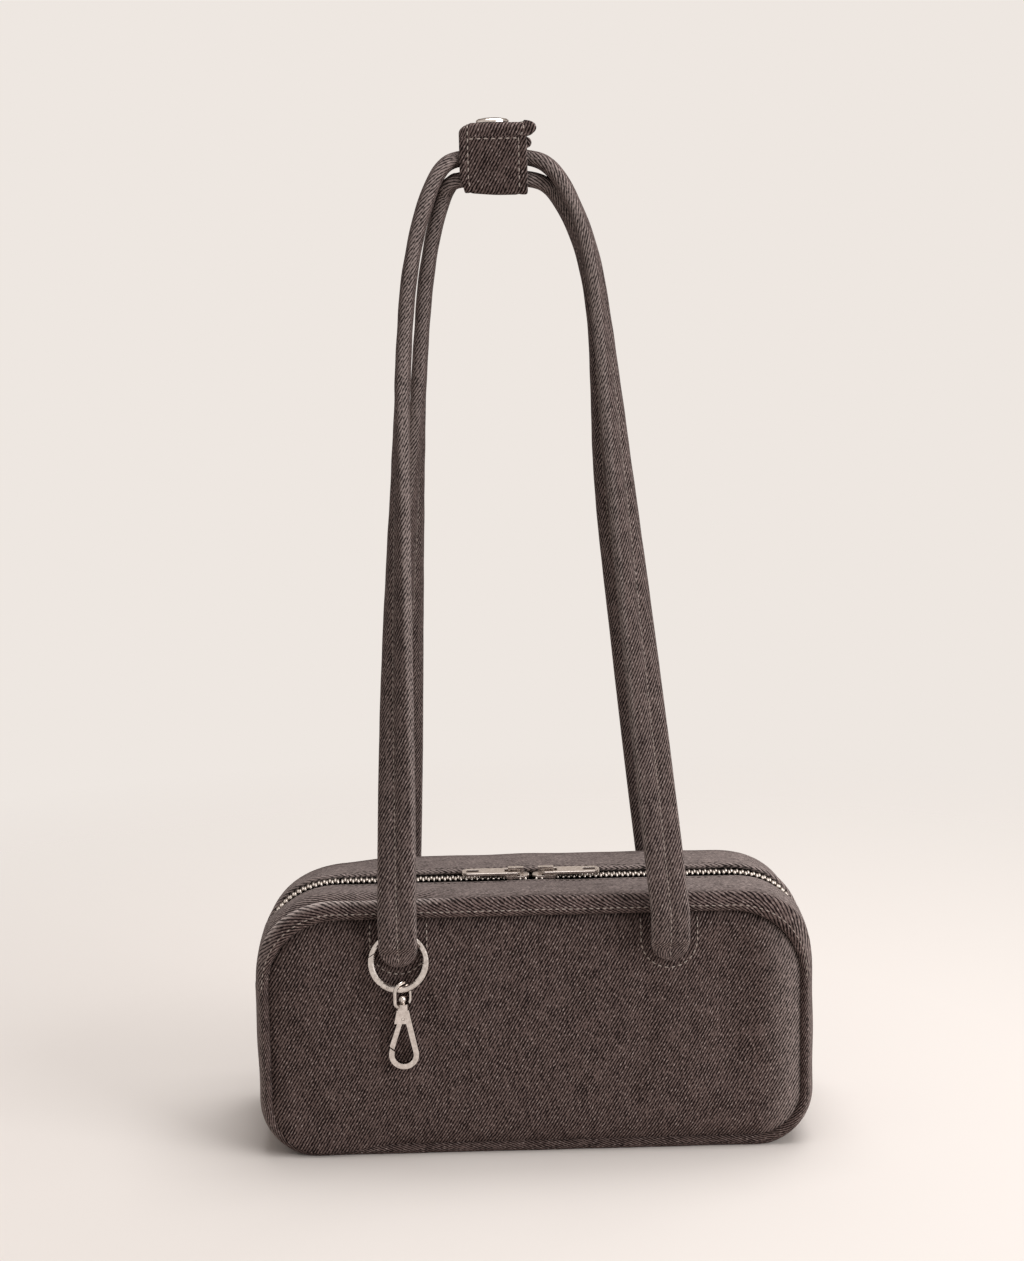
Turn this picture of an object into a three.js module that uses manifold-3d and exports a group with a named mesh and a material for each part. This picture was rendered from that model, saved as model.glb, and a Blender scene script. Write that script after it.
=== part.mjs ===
import * as THREE from 'three';
import { mergeVertices } from 'three/addons/utils/BufferGeometryUtils.js';
import Module from 'manifold-3d';

const wasm = await Module();
wasm.setup();

// Bag body, in millimetres: X across the front, -Y towards the viewer, Z up from the floor
const PANEL_WIDTH = 250; // side seam to side seam
const PANEL_HEIGHT = 110.5; // base seam to top seam
const BASE_LIFT = 5; // base seam above the floor
const BODY_DEPTH = 90; // front seam to rear seam
const TOP_RADIUS = 33;
const BASE_RADIUS = 22;
const PANEL_CROWN = 3.5; // swell of the stuffed panels
const SIDE_BULGE = 7.4; // gusset roll beyond the seam
const TOP_BULGE = 9.2;
const BASE_BULGE = 6.4;
const LEFT_CORNER_BULGE = 1.4; // extra roll at the top corners
const RIGHT_CORNER_BULGE = 3.2;
const ROLL_POWER = 2.8; // squareness of the gusset roll
const CLOTH = 2.5; // denim with its padding
const GAP = 0.3; // clearance between touching pieces

// Zip along the middle of the top gusset
const SLOT_HALF = 5.5; // half the slot between the folded gusset edges
const SLOT_END_ANGLE = 62; // degrees round the top corner where the slot stops
const CHAIN_DEPTH = 3.4; // teeth mid-plane below the gusset crown
const TOOTH_PITCH = 2.6;
const TOOTH_WIDTH = 1;
const TOOTH_REACH = 0.8; // tooth tip past the middle line
const TOOTH_HEIGHT = 2.2;
const CHAIN_HALF = 3;
const BEAD_WIDTH = 0.9;
const CHAIN_SPLIT = 2.2; // each row moves this far aside at the slider necks
const SPLIT_FROM = 4;
const SPLIT_TO = 10;
const TAPE_HALF = 14;
const TAPE_THICK = 0.6;
const TAPE_END_ANGLE = 70;

// Sliders and pull tabs
const SLIDER_START = 1.2; // nose of each slider from the bag's middle
const SLIDER_LENGTH = 11.5;
const SLIDER_HALF = 4.5;
const SLIDER_PLATE = 1.2;
const NECK_LENGTH = 3;
const NECK_HALF = 0.9;
const FLANGE_LENGTH = 4.2;
const FLANGE_THICK = 0.6;
const BRIDGE_START = 2.3; // bridge from the slider nose
const BRIDGE_LENGTH = 7.5;
const BRIDGE_HALF = 1.25;
const BRIDGE_BAR = 1.2;
const BRIDGE_ROOM = 2.3; // clear height under the bridge
const PULL_LENGTH = 28;
const PULL_WIDTH = 9.5;
const PULL_THICK = 1.5;
const PULL_BAR = 1.5; // bar that turns under the bridge
const PULL_EYE_LENGTH = 6;
const PULL_EYE_WIDTH = 5;
const PULL_HOLE_LENGTH = 6;
const PULL_HOLE_WIDTH = 4;
const PULL_RIM = 2; // metal beyond the outer hole

// Pieces inside the bag
const LINING = 0.8;
const LINING_INSET = 1.7; // lining inside the seam line
const LINING_TOP = 105;
const INTERLINING = 1.8;
const PATCH_THICK = 1.2;
const PATCH_WIDTH = 30;
const PATCH_HEIGHT = 26;
const BINDING_WIDTH = 2.4;
const BINDING_THICK = 0.8;
const BINDING_INSET = 0.5;
const BOARD_THICK = 2;
const BOARD_WIDTH = 190;
const BOARD_DEPTH = 66;

// Handles: padded straps sewn on at both ends and twisted to lie flat at the top
const HANDLE_SPREAD = 63.2; // strap middle from the bag's middle
const STRAP_WIDTH = 18;
const STRAP_THICK = 7.5;
const STRAP_GROOVE = 0.22; // share of the thickness lost along the centre stitch
const STRAP_END_Z = 95; // lowest point of a sewn strap end
const SEWN_TOP_Z = 101.5; // top of the sewn stretch
const FREE_FROM_Z = 106.5; // strap stands clear of the panel above this
const STRAP_STANDOFF = 4.4; // room behind the strap for the ring wire
const FOOT_Z = 119; // straight legs start here
const STRAP_SPLIT_Z = 151; // sewn strap end meets the handle loop
const TWIST_FROM_Z = 111;
const LEFT_TWIST_Z = 361; // left leg is turned edge-on by this height
const RIGHT_TWIST_Z = 451;
const LOWER_LEG_Z = 230; // points the legs pass through
const UPPER_LEG_Z = 310;
const SHOULDER_Z = 386; // legs bend over above this
const LEFT_SHOULDER = -53;
const RIGHT_SHOULDER = 38;
const LEFT_REAR_INSET = 7.4; // rear handle inside the front one at the shoulders
const RIGHT_REAR_INSET = 4.8;
const LEG_BOW = 1.5;
const CREST_Z = 463.6; // middle of the front strap at the top
const STACK = 9.6; // rear strap below the front strap at the top

// Wrap that ties both handles at the top
const WRAP_X = -10.5;
const WRAP_WIDTH = 31;
const WRAP_CLOTH = 2.2;
const WRAP_ROOM = 0.8; // slack round the straps
const WRAP_HEADROOM = 6; // open loop above the front strap
const WRAP_CORNER = 4;
const FLAP_LIFT = 2.1; // space the press stud takes under the flap
const FLAP_OVERHANG = 0.6;
const FLAP_ROOT_DROP = 4;
const INNER_END_SETBACK = 5; // inner layer stops short of the rear
const SNAP_RADIUS = 7.5;
const SNAP_DOME = 2.2;
const SNAP_RIM = 0.8;
const SOCKET_RADIUS = 5;
const SOCKET_HOLE = 3;
const SOCKET_HEIGHT = 1.4;
const STUD_RADIUS = 2;
const STUD_HEIGHT = 1.4;
const STUD_FLANGE = 0.5;
const BACK_THICK = 1;

// Sprung gate ring through the left front strap end
const RING_X = -63.3;
const RING_RADIUS = 12.7; // to the middle of the wire
const RING_WIRE = 1.7; // wire radius
const RING_TOP_Z = 109.4;
const RING_TILT = 12; // degrees the lower wire leans out
const GATE_FROM = 163; // degrees round the ring, from the right-hand side
const GATE_TO = 246;
const GATE_SEAM = 0.35; // gap at the gate's free end
const SEAM_SLANT = 50; // degrees the free end is cut off square, so that it swings in past the ring
const SEAM_LAP = 14; // degrees of wire past the middle of the slanted seam
const TONGUE_THICK = 1;
const TONGUE_LENGTH = 3;
const TONGUE_CLEARANCE = 0.3;
const PIN_RADIUS = 0.5;
const PIN_CLEARANCE = 0.1;

// Swivel hook that hangs from the ring
const HOOK_X = -61.8;
const EYE_HALF = 4.8; // eye wire from the eye's middle
const EYE_WIRE = 0.95;
const EYE_TURN = 45; // degrees the eye is turned so that it straddles the ring wire
const EYE_SEAT = 0.6; // eye crown above the ring wire
const EYE_CURL = 3; // radius of the eye's lower corners
const EYE_DROP = 9.9; // eye crown to the swivel disc
const SWIVEL_RADIUS = 3.1;
const SWIVEL_THICK = 2.8;
const POST_RADIUS = 1.5;
const POST_CLEARANCE = 0.2;
const BALL_RADIUS = 2;
const HOOK_LENGTH = 28.6;
const HOOK_THICK = 3;
const HOOK_BOW = 7; // outer radius of the rounded lower end
const HOOK_NECK = 2.8; // half the width under the swivel
const HOOK_BAR = 2.5;
const THROAT_HALF = 1.4; // half the opening at its top
const THROAT_TOP = 6.6; // opening starts this far below the hook's top
const HOOK_GATE_TOP = 4.3; // rivet below the hook's top
const HOOK_GATE_LENGTH = 14.6;
const HOOK_GATE_THICK = 1.6;
const GATE_FOOT_SLOPE = 0.8; // fall of the gate's foot towards the opening, so that it swings in
const RIVET_RADIUS = 0.7;
const RIVET_CLEARANCE = 0.1;

const HALF_WIDTH = PANEL_WIDTH / 2;
const HALF_DEPTH = BODY_DEPTH / 2;
const TOP_Z = BASE_LIFT + PANEL_HEIGHT;
const MID_Z = BASE_LIFT + PANEL_HEIGHT / 2;
const CORNER_X = HALF_WIDTH - TOP_RADIUS;
const CORNER_Z = TOP_Z - TOP_RADIUS;
const GUSSET_EDGE = HALF_DEPTH - CLOTH - GAP;
const CHAIN_Z = TOP_Z + TOP_BULGE - CHAIN_DEPTH;

const denim = new THREE.MeshStandardMaterial({ color: 0x4a403e, roughness: 0.9 });
const liningCloth = new THREE.MeshStandardMaterial({ color: 0x2f2a2a, roughness: 0.9 });
const tapeCloth = new THREE.MeshStandardMaterial({ color: 0x3a3331, roughness: 0.9 });
const boardStock = new THREE.MeshStandardMaterial({ color: 0x6b5d50, roughness: 0.9 });
const nickel = new THREE.MeshStandardMaterial({ color: 0xcfc6c1, roughness: 0.35, metalness: 1 });

const group = new THREE.Group();

function add(name, geometry, material) {
  const mesh = new THREE.Mesh(geometry, material);
  mesh.name = name;
  group.add(mesh);
}

// Shape helpers

const rad = THREE.MathUtils.degToRad;
const vec = (x, y, z) => new THREE.Vector3(x, y, z);
function span(from, to, count) {
  return Array.from({ length: count }, (_, i) => from + ((to - from) * i) / (count - 1));
}

const ease = (from, to, value) => THREE.MathUtils.smoothstep(value, from, to);

// Closed surface from points and triangles, turned to face outwards
function closed(points, triangles) {
  const flat = new Float32Array(points.length * 3);
  points.forEach((p, i) => flat.set([p.x, p.y, p.z], i * 3));
  const volume = triangles.reduce((sum, [a, b, c]) => {
    const cross = points[b].clone().cross(points[c]);
    return sum + points[a].dot(cross);
  }, 0);
  const facing = volume < 0 ? triangles.map(([a, b, c]) => [a, c, b]) : triangles;
  const geometry = new THREE.BufferGeometry();
  geometry.setAttribute('position', new THREE.BufferAttribute(flat, 3));
  geometry.setIndex(facing.flat());
  return geometry;
}

// Sheet with thickness: place(u, v, side) gives the outer face at side 0 and the inner face at side 1
function sheet(us, vs, place) {
  const points = [];
  const triangles = [];
  const rows = us.length;
  const cols = vs.length;
  const at = (side, i, j) => (side * rows + i) * cols + j;
  for (const side of [0, 1]) {
    for (const u of us) {
      for (const v of vs) points.push(place(u, v, side));
    }
  }
  const quad = (a, b, c, d) => triangles.push([a, b, c], [a, c, d]);
  for (let i = 0; i < rows - 1; i += 1) {
    for (let j = 0; j < cols - 1; j += 1) {
      quad(at(0, i, j), at(0, i + 1, j), at(0, i + 1, j + 1), at(0, i, j + 1));
      quad(at(1, i, j), at(1, i, j + 1), at(1, i + 1, j + 1), at(1, i + 1, j));
    }
    quad(at(0, i, 0), at(1, i, 0), at(1, i + 1, 0), at(0, i + 1, 0));
    quad(at(0, i, cols - 1), at(0, i + 1, cols - 1), at(1, i + 1, cols - 1), at(1, i, cols - 1));
  }
  for (let j = 0; j < cols - 1; j += 1) {
    quad(at(0, 0, j), at(0, 0, j + 1), at(1, 0, j + 1), at(1, 0, j));
    quad(at(0, rows - 1, j), at(1, rows - 1, j), at(1, rows - 1, j + 1), at(0, rows - 1, j + 1));
  }
  return closed(points, triangles);
}

// Rings of equal length joined in order, with a fan over each end
function loft(rings) {
  const count = rings[0].length;
  const points = rings.flat();
  const triangles = [];
  for (let i = 0; i < rings.length - 1; i += 1) {
    for (let j = 0; j < count; j += 1) {
      const k = (j + 1) % count;
      triangles.push([i * count + j, (i + 1) * count + j, (i + 1) * count + k]);
      triangles.push([i * count + j, (i + 1) * count + k, i * count + k]);
    }
  }
  const middle = (ring) => ring.reduce((sum, p) => sum.add(p), vec(0, 0, 0)).divideScalar(count);
  const first = points.push(middle(rings[0])) - 1;
  const last = points.push(middle(rings[rings.length - 1])) - 1;
  const top = (rings.length - 1) * count;
  for (let j = 0; j < count; j += 1) {
    const k = (j + 1) % count;
    triangles.push([first, j, k], [last, top + k, top + j]);
  }
  return closed(points, triangles);
}

function toManifold(geometry) {
  const bare = new THREE.BufferGeometry();
  bare.setAttribute('position', geometry.getAttribute('position').clone());
  if (geometry.index) bare.setIndex(geometry.index.clone());
  const merged = mergeVertices(bare, 1e-4);
  const vertProperties = new Float32Array(merged.getAttribute('position').array);
  const triVerts = new Uint32Array(merged.index.array);
  return new wasm.Manifold(new wasm.Mesh({ numProp: 3, vertProperties, triVerts }));
}

function fromManifold(solid) {
  const mesh = solid.getMesh();
  const geometry = new THREE.BufferGeometry();
  geometry.setAttribute('position', new THREE.BufferAttribute(new Float32Array(mesh.vertProperties), 3));
  geometry.setIndex(Array.from(mesh.triVerts));
  return geometry;
}

function join(...pieces) {
  return fromManifold(pieces.map(toManifold).reduce((a, b) => a.add(b)));
}

function cut(piece, ...cutters) {
  return fromManifold(cutters.map(toManifold).reduce((a, b) => a.subtract(b), toManifold(piece)));
}

// Box from its low and high corners
function block(x0, x1, y0, y1, z0, z1) {
  const box = new THREE.BoxGeometry(x1 - x0, y1 - y0, z1 - z0);
  return box.translate((x0 + x1) / 2, (y0 + y1) / 2, (z0 + z1) / 2);
}

// Round piece about Z from half-profile points [radius, height]
function turned(profile, segments = 28) {
  const half = profile.map(([r, z]) => new THREE.Vector2(r, z));
  return new THREE.LatheGeometry(half, segments).rotateX(Math.PI / 2);
}

function rod(radius, length, segments = 14) {
  return new THREE.CylinderGeometry(radius, radius, length, segments);
}

class PathCurve extends THREE.Curve {
  constructor(pointAt) {
    super();
    this.pointAt = pointAt;
  }

  getPoint(t, target = new THREE.Vector3()) {
    return target.copy(this.pointAt(t));
  }
}

// Round wire along a path
function wire(pointAt, radius, steps, sides = 10) {
  const round = new THREE.Shape();
  span(0, 2 * Math.PI, sides + 1).slice(0, sides).forEach((a, i) => {
    const x = radius * Math.cos(a);
    const y = radius * Math.sin(a);
    if (i === 0) round.moveTo(x, y);
    else round.lineTo(x, y);
  });
  return new THREE.ExtrudeGeometry(round, { steps, extrudePath: new PathCurve(pointAt) });
}

// Flat piece drawn as [x, z] and standing in the XZ plane, centred on y = 0
function upright(outer, holes, thick) {
  const shape = new THREE.Shape(outer.map(([x, z]) => new THREE.Vector2(x, z)));
  holes.forEach((hole) => shape.holes.push(new THREE.Path(hole.map(([x, z]) => new THREE.Vector2(x, z)))));
  const geometry = new THREE.ExtrudeGeometry(shape, { depth: thick, bevelEnabled: false });
  return geometry.rotateX(Math.PI / 2).translate(0, thick / 2, 0);
}

// Flat piece drawn as [x, y] and lying between two heights
function lying(outer, holes, z0, z1) {
  const shape = new THREE.Shape(outer.map(([x, y]) => new THREE.Vector2(x, y)));
  holes.forEach((hole) => shape.holes.push(new THREE.Path(hole.map(([x, y]) => new THREE.Vector2(x, y)))));
  const geometry = new THREE.ExtrudeGeometry(shape, { depth: z1 - z0, bevelEnabled: false });
  return geometry.translate(0, 0, z0);
}

// Seam outline of the panels: four corner arcs, with the outward direction at each point
function arc(cx, cz, radius, from, to, count) {
  return span(from, to, count).map((degrees) => {
    const nx = Math.cos(rad(degrees));
    const nz = Math.sin(rad(degrees));
    return { x: cx + radius * nx, z: cz + radius * nz, nx, nz };
  });
}

const BASE_CORNER_X = HALF_WIDTH - BASE_RADIUS;
const BASE_CORNER_Z = BASE_LIFT + BASE_RADIUS;
const topRight = (from, to, count) => arc(CORNER_X, CORNER_Z, TOP_RADIUS, from, to, count);
const topLeft = (from, to, count) => arc(-CORNER_X, CORNER_Z, TOP_RADIUS, from, to, count);
const baseLeft = (count) => arc(-BASE_CORNER_X, BASE_CORNER_Z, BASE_RADIUS, 180, 270, count);
const baseRight = (count) => arc(BASE_CORNER_X, BASE_CORNER_Z, BASE_RADIUS, 270, 360, count);
const outline = (count) => [
  ...topRight(0, 90, count),
  ...topLeft(90, 180, count),
  ...baseLeft(count),
  ...baseRight(count),
];

// Front and rear panels: crowned plates inside the seam outline
const crownAt = (share) => PANEL_CROWN * (1 - share ** 3);

function panel(side) {
  const loop = outline(9);
  const shares = [1, 0.86, 0.62, 0.32];
  const ringAt = (share, y) => loop.map((p) => vec(p.x * share, y, MID_Z + (p.z - MID_Z) * share));
  const outer = shares.map((share) => ringAt(share, side * (HALF_DEPTH + crownAt(share))));
  const inner = ringAt(1, side * (HALF_DEPTH - CLOTH));
  return loft([inner, ...outer]);
}

// Panel face depth at a point, measured from the middle plane of the bag
function panelFace(x, z) {
  const fromMiddle = z - MID_Z;
  const share = Math.max(Math.abs(x) / HALF_WIDTH, Math.abs(fromMiddle) / (PANEL_HEIGHT / 2));
  return HALF_DEPTH + crownAt(share);
}

// Gusset: rolls out past the seam and lies flat on the floor underneath
const rollAt = (y) => Math.max(0, 1 - Math.abs(y / HALF_DEPTH) ** ROLL_POWER) ** (1 / ROLL_POWER);

function bulgeAt(nx, nz) {
  const straight = SIDE_BULGE + ((nz > 0 ? TOP_BULGE : BASE_BULGE) - SIDE_BULGE) * nz * nz;
  const corner = nx < 0 ? LEFT_CORNER_BULGE : RIGHT_CORNER_BULGE;
  return straight + (nz > 0 ? corner * (2 * nx * nz) ** 2 : 0);
}

function gussetPoint(p, y, depth) {
  const offset = bulgeAt(p.nx, p.nz) * rollAt(y) - depth;
  return vec(p.x + p.nx * offset, y, Math.max(p.z + p.nz * offset, depth));
}

// Cross positions packed closer where the cloth turns in to the seam
const fullDepth = (edge, count) => span(-90, 90, count).map((a) => edge * Math.sin(rad(a)));
function halfDepth(from, edge, count) {
  return span(0, 90, count).map((a) => from + (edge - from) * Math.sin(rad(a)));
}


function gusset(run, ys, outer, inner) {
  return sheet(run, ys, (p, y, side) => gussetPoint(p, y, side ? inner : outer));
}

const CORNER_GAP = THREE.MathUtils.radToDeg(GAP / TOP_RADIUS);
const zipRun = [
  { x: -CORNER_X, z: TOP_Z, nx: 0, nz: 1 },
  { x: CORNER_X, z: TOP_Z, nx: 0, nz: 1 },
];

add('front_panel', panel(-1), denim);
add('rear_panel', panel(1), denim);
const leftEnd = topLeft(180, 180, 2).slice(1);
const rightEnd = topRight(0, 0, 2).slice(1);
const baseRun = [...leftEnd, ...baseLeft(7), ...baseRight(7), ...rightEnd];
add('bottom_gusset', gusset(baseRun, fullDepth(GUSSET_EDGE, 11), 0, CLOTH), denim);
const flapCross = halfDepth(SLOT_HALF, GUSSET_EDGE, 8);
add('zip_gusset_front', gusset(zipRun, flapCross.map((y) => -y), 0, CLOTH), denim);
add('zip_gusset_rear', gusset(zipRun, flapCross, 0, CLOTH), denim);

// End of a zip layer round a top corner, with a slot that stops part of the way down
function zipEnd(side, ys, slotHalf, slotAngle, endAngle, outer, inner) {
  const turn = side > 0 ? topRight : topLeft;
  const corner = (from, to, count) => turn(90 - side * from, 90 - side * to, count);
  const whole = gusset(corner(CORNER_GAP, endAngle - CORNER_GAP, 8), ys, outer, inner);
  const slotRun = corner(-3, slotAngle, 7);
  const through = (p, y, s) => gussetPoint(p, y, s ? inner + 2 : outer - 2);
  const slot = sheet(slotRun, [-slotHalf, slotHalf], through);
  return cut(whole, slot);
}

const TAPE_OUTER = CHAIN_DEPTH - TAPE_THICK / 2;
const TAPE_INNER = CHAIN_DEPTH + TAPE_THICK / 2;
const TAPE_EDGE = CHAIN_HALF + GAP;
for (const [name, side] of [['left', -1], ['right', 1]]) {
  const end = zipEnd(side, fullDepth(GUSSET_EDGE, 11), SLOT_HALF, SLOT_END_ANGLE, 90, 0, CLOTH);
  add(`zip_gusset_${name}_end`, end, denim);
  const ys = fullDepth(TAPE_HALF, 4);
  const tape = zipEnd(side, ys, TAPE_EDGE, SLOT_END_ANGLE, TAPE_END_ANGLE, TAPE_OUTER, TAPE_INNER);
  add(`zip_tape_${name}_end`, tape, tapeCloth);
}

// Straight zip tapes, moved aside a little round the slider necks
const splitAt = (x) => CHAIN_SPLIT * (1 - ease(SPLIT_FROM, SPLIT_TO, Math.abs(x)));

const zipStops = [-CORNER_X, ...span(-SPLIT_TO, SPLIT_TO, 9), CORNER_X];

function tape(side) {
  const place = (x, share, s) => {
    const inner = TAPE_EDGE + splitAt(x);
    const z = CHAIN_Z + (s ? -TAPE_THICK : TAPE_THICK) / 2;
    return vec(x, side * (inner + (TAPE_HALF - inner) * share), z);
  };
  return sheet(zipStops, [0, 1], place);
}

add('zip_tape_front', tape(-1), tapeCloth);
add('zip_tape_rear', tape(1), tapeCloth);

// Row of metal teeth on a bead, along s and across y; shift sets it half a pitch on, aside moves it out
function toothRow(stops, side, shift, aside = () => 0) {
  const from = stops[0];
  const to = stops[stops.length - 1];
  const bead = CHAIN_HALF - BEAD_WIDTH;
  const points = [[from, CHAIN_HALF], [from, bead]];
  const first = Math.ceil((from - shift + TOOTH_WIDTH) / TOOTH_PITCH);
  for (let k = first; k * TOOTH_PITCH + shift + TOOTH_WIDTH < to; k += 1) {
    const s = k * TOOTH_PITCH + shift;
    const half = TOOTH_WIDTH / 2;
    points.push([s - half, bead], [s - half, -TOOTH_REACH], [s + half, -TOOTH_REACH], [s + half, bead]);
  }
  points.push([to, bead]);
  for (const s of stops.slice(1).reverse()) points.push([s, CHAIN_HALF]);
  const flat = points.map(([s, y]) => [s, side * (y + aside(s))]);
  return lying(flat, [], -TOOTH_HEIGHT / 2, TOOTH_HEIGHT / 2);
}

function bend(geometry, place) {
  const position = geometry.getAttribute('position');
  for (let i = 0; i < position.count; i += 1) {
    const p = place(position.getX(i), position.getY(i), position.getZ(i));
    position.setXYZ(i, p.x, p.y, p.z);
  }
  return geometry;
}

const HALF_PITCH = TOOTH_PITCH / 2;
for (const [name, side, shift] of [['front', -1, 0], ['rear', 1, HALF_PITCH]]) {
  add(`zip_chain_${name}`, toothRow(zipStops, side, shift, splitAt).translate(0, 0, CHAIN_Z), nickel);
}

// Teeth round a top corner end in one metal stop
function chainEnd(side) {
  const radius = TOP_RADIUS + TOP_BULGE - CHAIN_DEPTH;
  const length = rad(SLOT_END_ANGLE) * radius - GAP * 2;
  const stop = lying(
    [[length - 1.6, -CHAIN_HALF], [length, -CHAIN_HALF], [length, CHAIN_HALF], [length - 1.6, CHAIN_HALF]],
    [], -TOOTH_HEIGHT / 2, TOOTH_HEIGHT / 2,
  );
  const stops = span(GAP, length - 1.4, 8);
  const rows = [toothRow(stops, -1, 0), toothRow(stops, 1, HALF_PITCH)];
  const flat = join(rows[0], stop, rows[1]);
  return bend(flat, (s, y, h) => {
    const angle = s / radius;
    const nz = Math.cos(angle);
    const nx = side * Math.sin(angle);
    const reach = TOP_RADIUS + bulgeAt(nx, nz) - CHAIN_DEPTH + h;
    return vec(side * CORNER_X + reach * nx, side * y, CORNER_Z + reach * nz);
  });
}

add('zip_chain_left_end', chainEnd(-1), nickel);
add('zip_chain_right_end', chainEnd(1), nickel);

// Sliders: two plates joined by a neck, side flanges behind it and a bridge for the pull tab
const PLATE_LOW = CHAIN_Z + TOOTH_HEIGHT / 2 + GAP;
const SLIDER_TOP = PLATE_LOW + SLIDER_PLATE;
const PLATE_UNDER = CHAIN_Z - TOOTH_HEIGHT / 2 - GAP;

function slider(side) {
  const nose = SLIDER_START;
  const tail = nose + SLIDER_LENGTH;
  const mirror = (x0, x1, ...rest) => (side > 0 ? block(x0, x1, ...rest) : block(-x1, -x0, ...rest));
  const platePoints = [
    [nose, 2.6], [nose + 1.6, SLIDER_HALF], [tail - 1, SLIDER_HALF], [tail, SLIDER_HALF - 1],
    [tail, 1 - SLIDER_HALF], [tail - 1, -SLIDER_HALF], [nose + 1.6, -SLIDER_HALF], [nose, -2.6],
  ].map(([x, y]) => [side * x, y]);
  const top = lying(platePoints, [], PLATE_LOW, SLIDER_TOP);
  const under = lying(platePoints, [], PLATE_UNDER - SLIDER_PLATE, PLATE_UNDER);
  const sink = SLIDER_PLATE / 2;
  const neckFrom = nose + 0.8;
  const neckTo = neckFrom + NECK_LENGTH;
  const neck = mirror(neckFrom, neckTo, -NECK_HALF, NECK_HALF, PLATE_UNDER - sink, PLATE_LOW + sink);
  const flanges = [];
  const tapeTop = CHAIN_Z + TAPE_THICK / 2 + GAP;
  const tapeLow = CHAIN_Z - TAPE_THICK / 2 - GAP;
  for (const y of [-1, 1]) {
    const rim = [y * (SLIDER_HALF - FLANGE_THICK), y * SLIDER_HALF].sort((a, b) => a - b);
    flanges.push(mirror(tail - FLANGE_LENGTH, tail - 1.2, ...rim, tapeTop, PLATE_LOW + sink));
    flanges.push(mirror(tail - FLANGE_LENGTH, tail - 1.2, ...rim, PLATE_UNDER - sink, tapeLow));
  }
  const start = nose + BRIDGE_START;
  const end = start + BRIDGE_LENGTH;
  const bridgeTop = SLIDER_TOP + BRIDGE_ROOM;
  const legs = [[start, start + BRIDGE_BAR], [end - BRIDGE_BAR, end]].map(([x0, x1]) =>
    mirror(x0, x1, -BRIDGE_HALF, BRIDGE_HALF, SLIDER_TOP - sink, bridgeTop + sink));
  const beam = mirror(start, end, -BRIDGE_HALF, BRIDGE_HALF, bridgeTop, bridgeTop + BRIDGE_BAR);
  return join(top, under, neck, ...flanges, ...legs, beam);
}

// Pull tab: a bar under the bridge, an eye round the bridge leg, then the tab with a hole at its end
function pullTab(side) {
  const start = SLIDER_START + BRIDGE_START + BRIDGE_BAR + 0.45;
  const end = start + PULL_LENGTH;
  const half = PULL_WIDTH / 2;
  const eye = start + PULL_BAR;
  const rectangle = (x0, x1, y) => [[x0, -y], [x1, -y], [x1, y], [x0, y]];
  const outer = [
    [start, -half + 1.4], [start + 1.4, -half], [end - 2.4, -half], [end, -half + 2.4],
    [end, half - 2.4], [end - 2.4, half], [start + 1.4, half], [start, half - 1.4],
  ];
  const holes = [
    rectangle(eye, eye + PULL_EYE_LENGTH, PULL_EYE_WIDTH / 2),
    rectangle(end - PULL_RIM - PULL_HOLE_LENGTH, end - PULL_RIM, PULL_HOLE_WIDTH / 2),
  ];
  const low = SLIDER_TOP + (BRIDGE_ROOM - PULL_THICK) / 2;
  const flip = (ring) => (side > 0 ? ring : ring.map(([x, y]) => [-x, y]).reverse());
  return lying(flip(outer), holes.map(flip), low, low + PULL_THICK);
}

for (const [name, side] of [['left', -1], ['right', 1]]) {
  add(`${name}_slider`, slider(side), nickel);
  add(`${name}_pull_tab`, pullTab(side), nickel);
}

// Pieces inside the bag
const INTERLINING_OUT = HALF_DEPTH - CLOTH - GAP;
const INTERLINING_IN = INTERLINING_OUT - INTERLINING;
const PATCH_OUT = INTERLINING_IN - GAP;
const LINING_OUT = PATCH_OUT - PATCH_THICK - GAP;

function insetLoop(inset, count) {
  return outline(count).map((p) => [p.x - p.nx * inset, p.z - p.nz * inset]);
}

// Lining outline below the zip, closed by a level line at the given height
function tubLoop(inset, top) {
  const angle = THREE.MathUtils.radToDeg(Math.asin((LINING_TOP - CORNER_Z) / (TOP_RADIUS - inset)));
  const run = [...topLeft(180 - angle, 180, 5), ...baseLeft(6), ...baseRight(6), ...topRight(0, angle, 5)];
  const loop = run.map((p) => [p.x - p.nx * inset, p.z - p.nz * inset]);
  const low = loop[0];
  const high = loop[loop.length - 1];
  return top > LINING_TOP ? [[low[0], top], ...loop, [high[0], top]] : loop;
}

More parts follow.
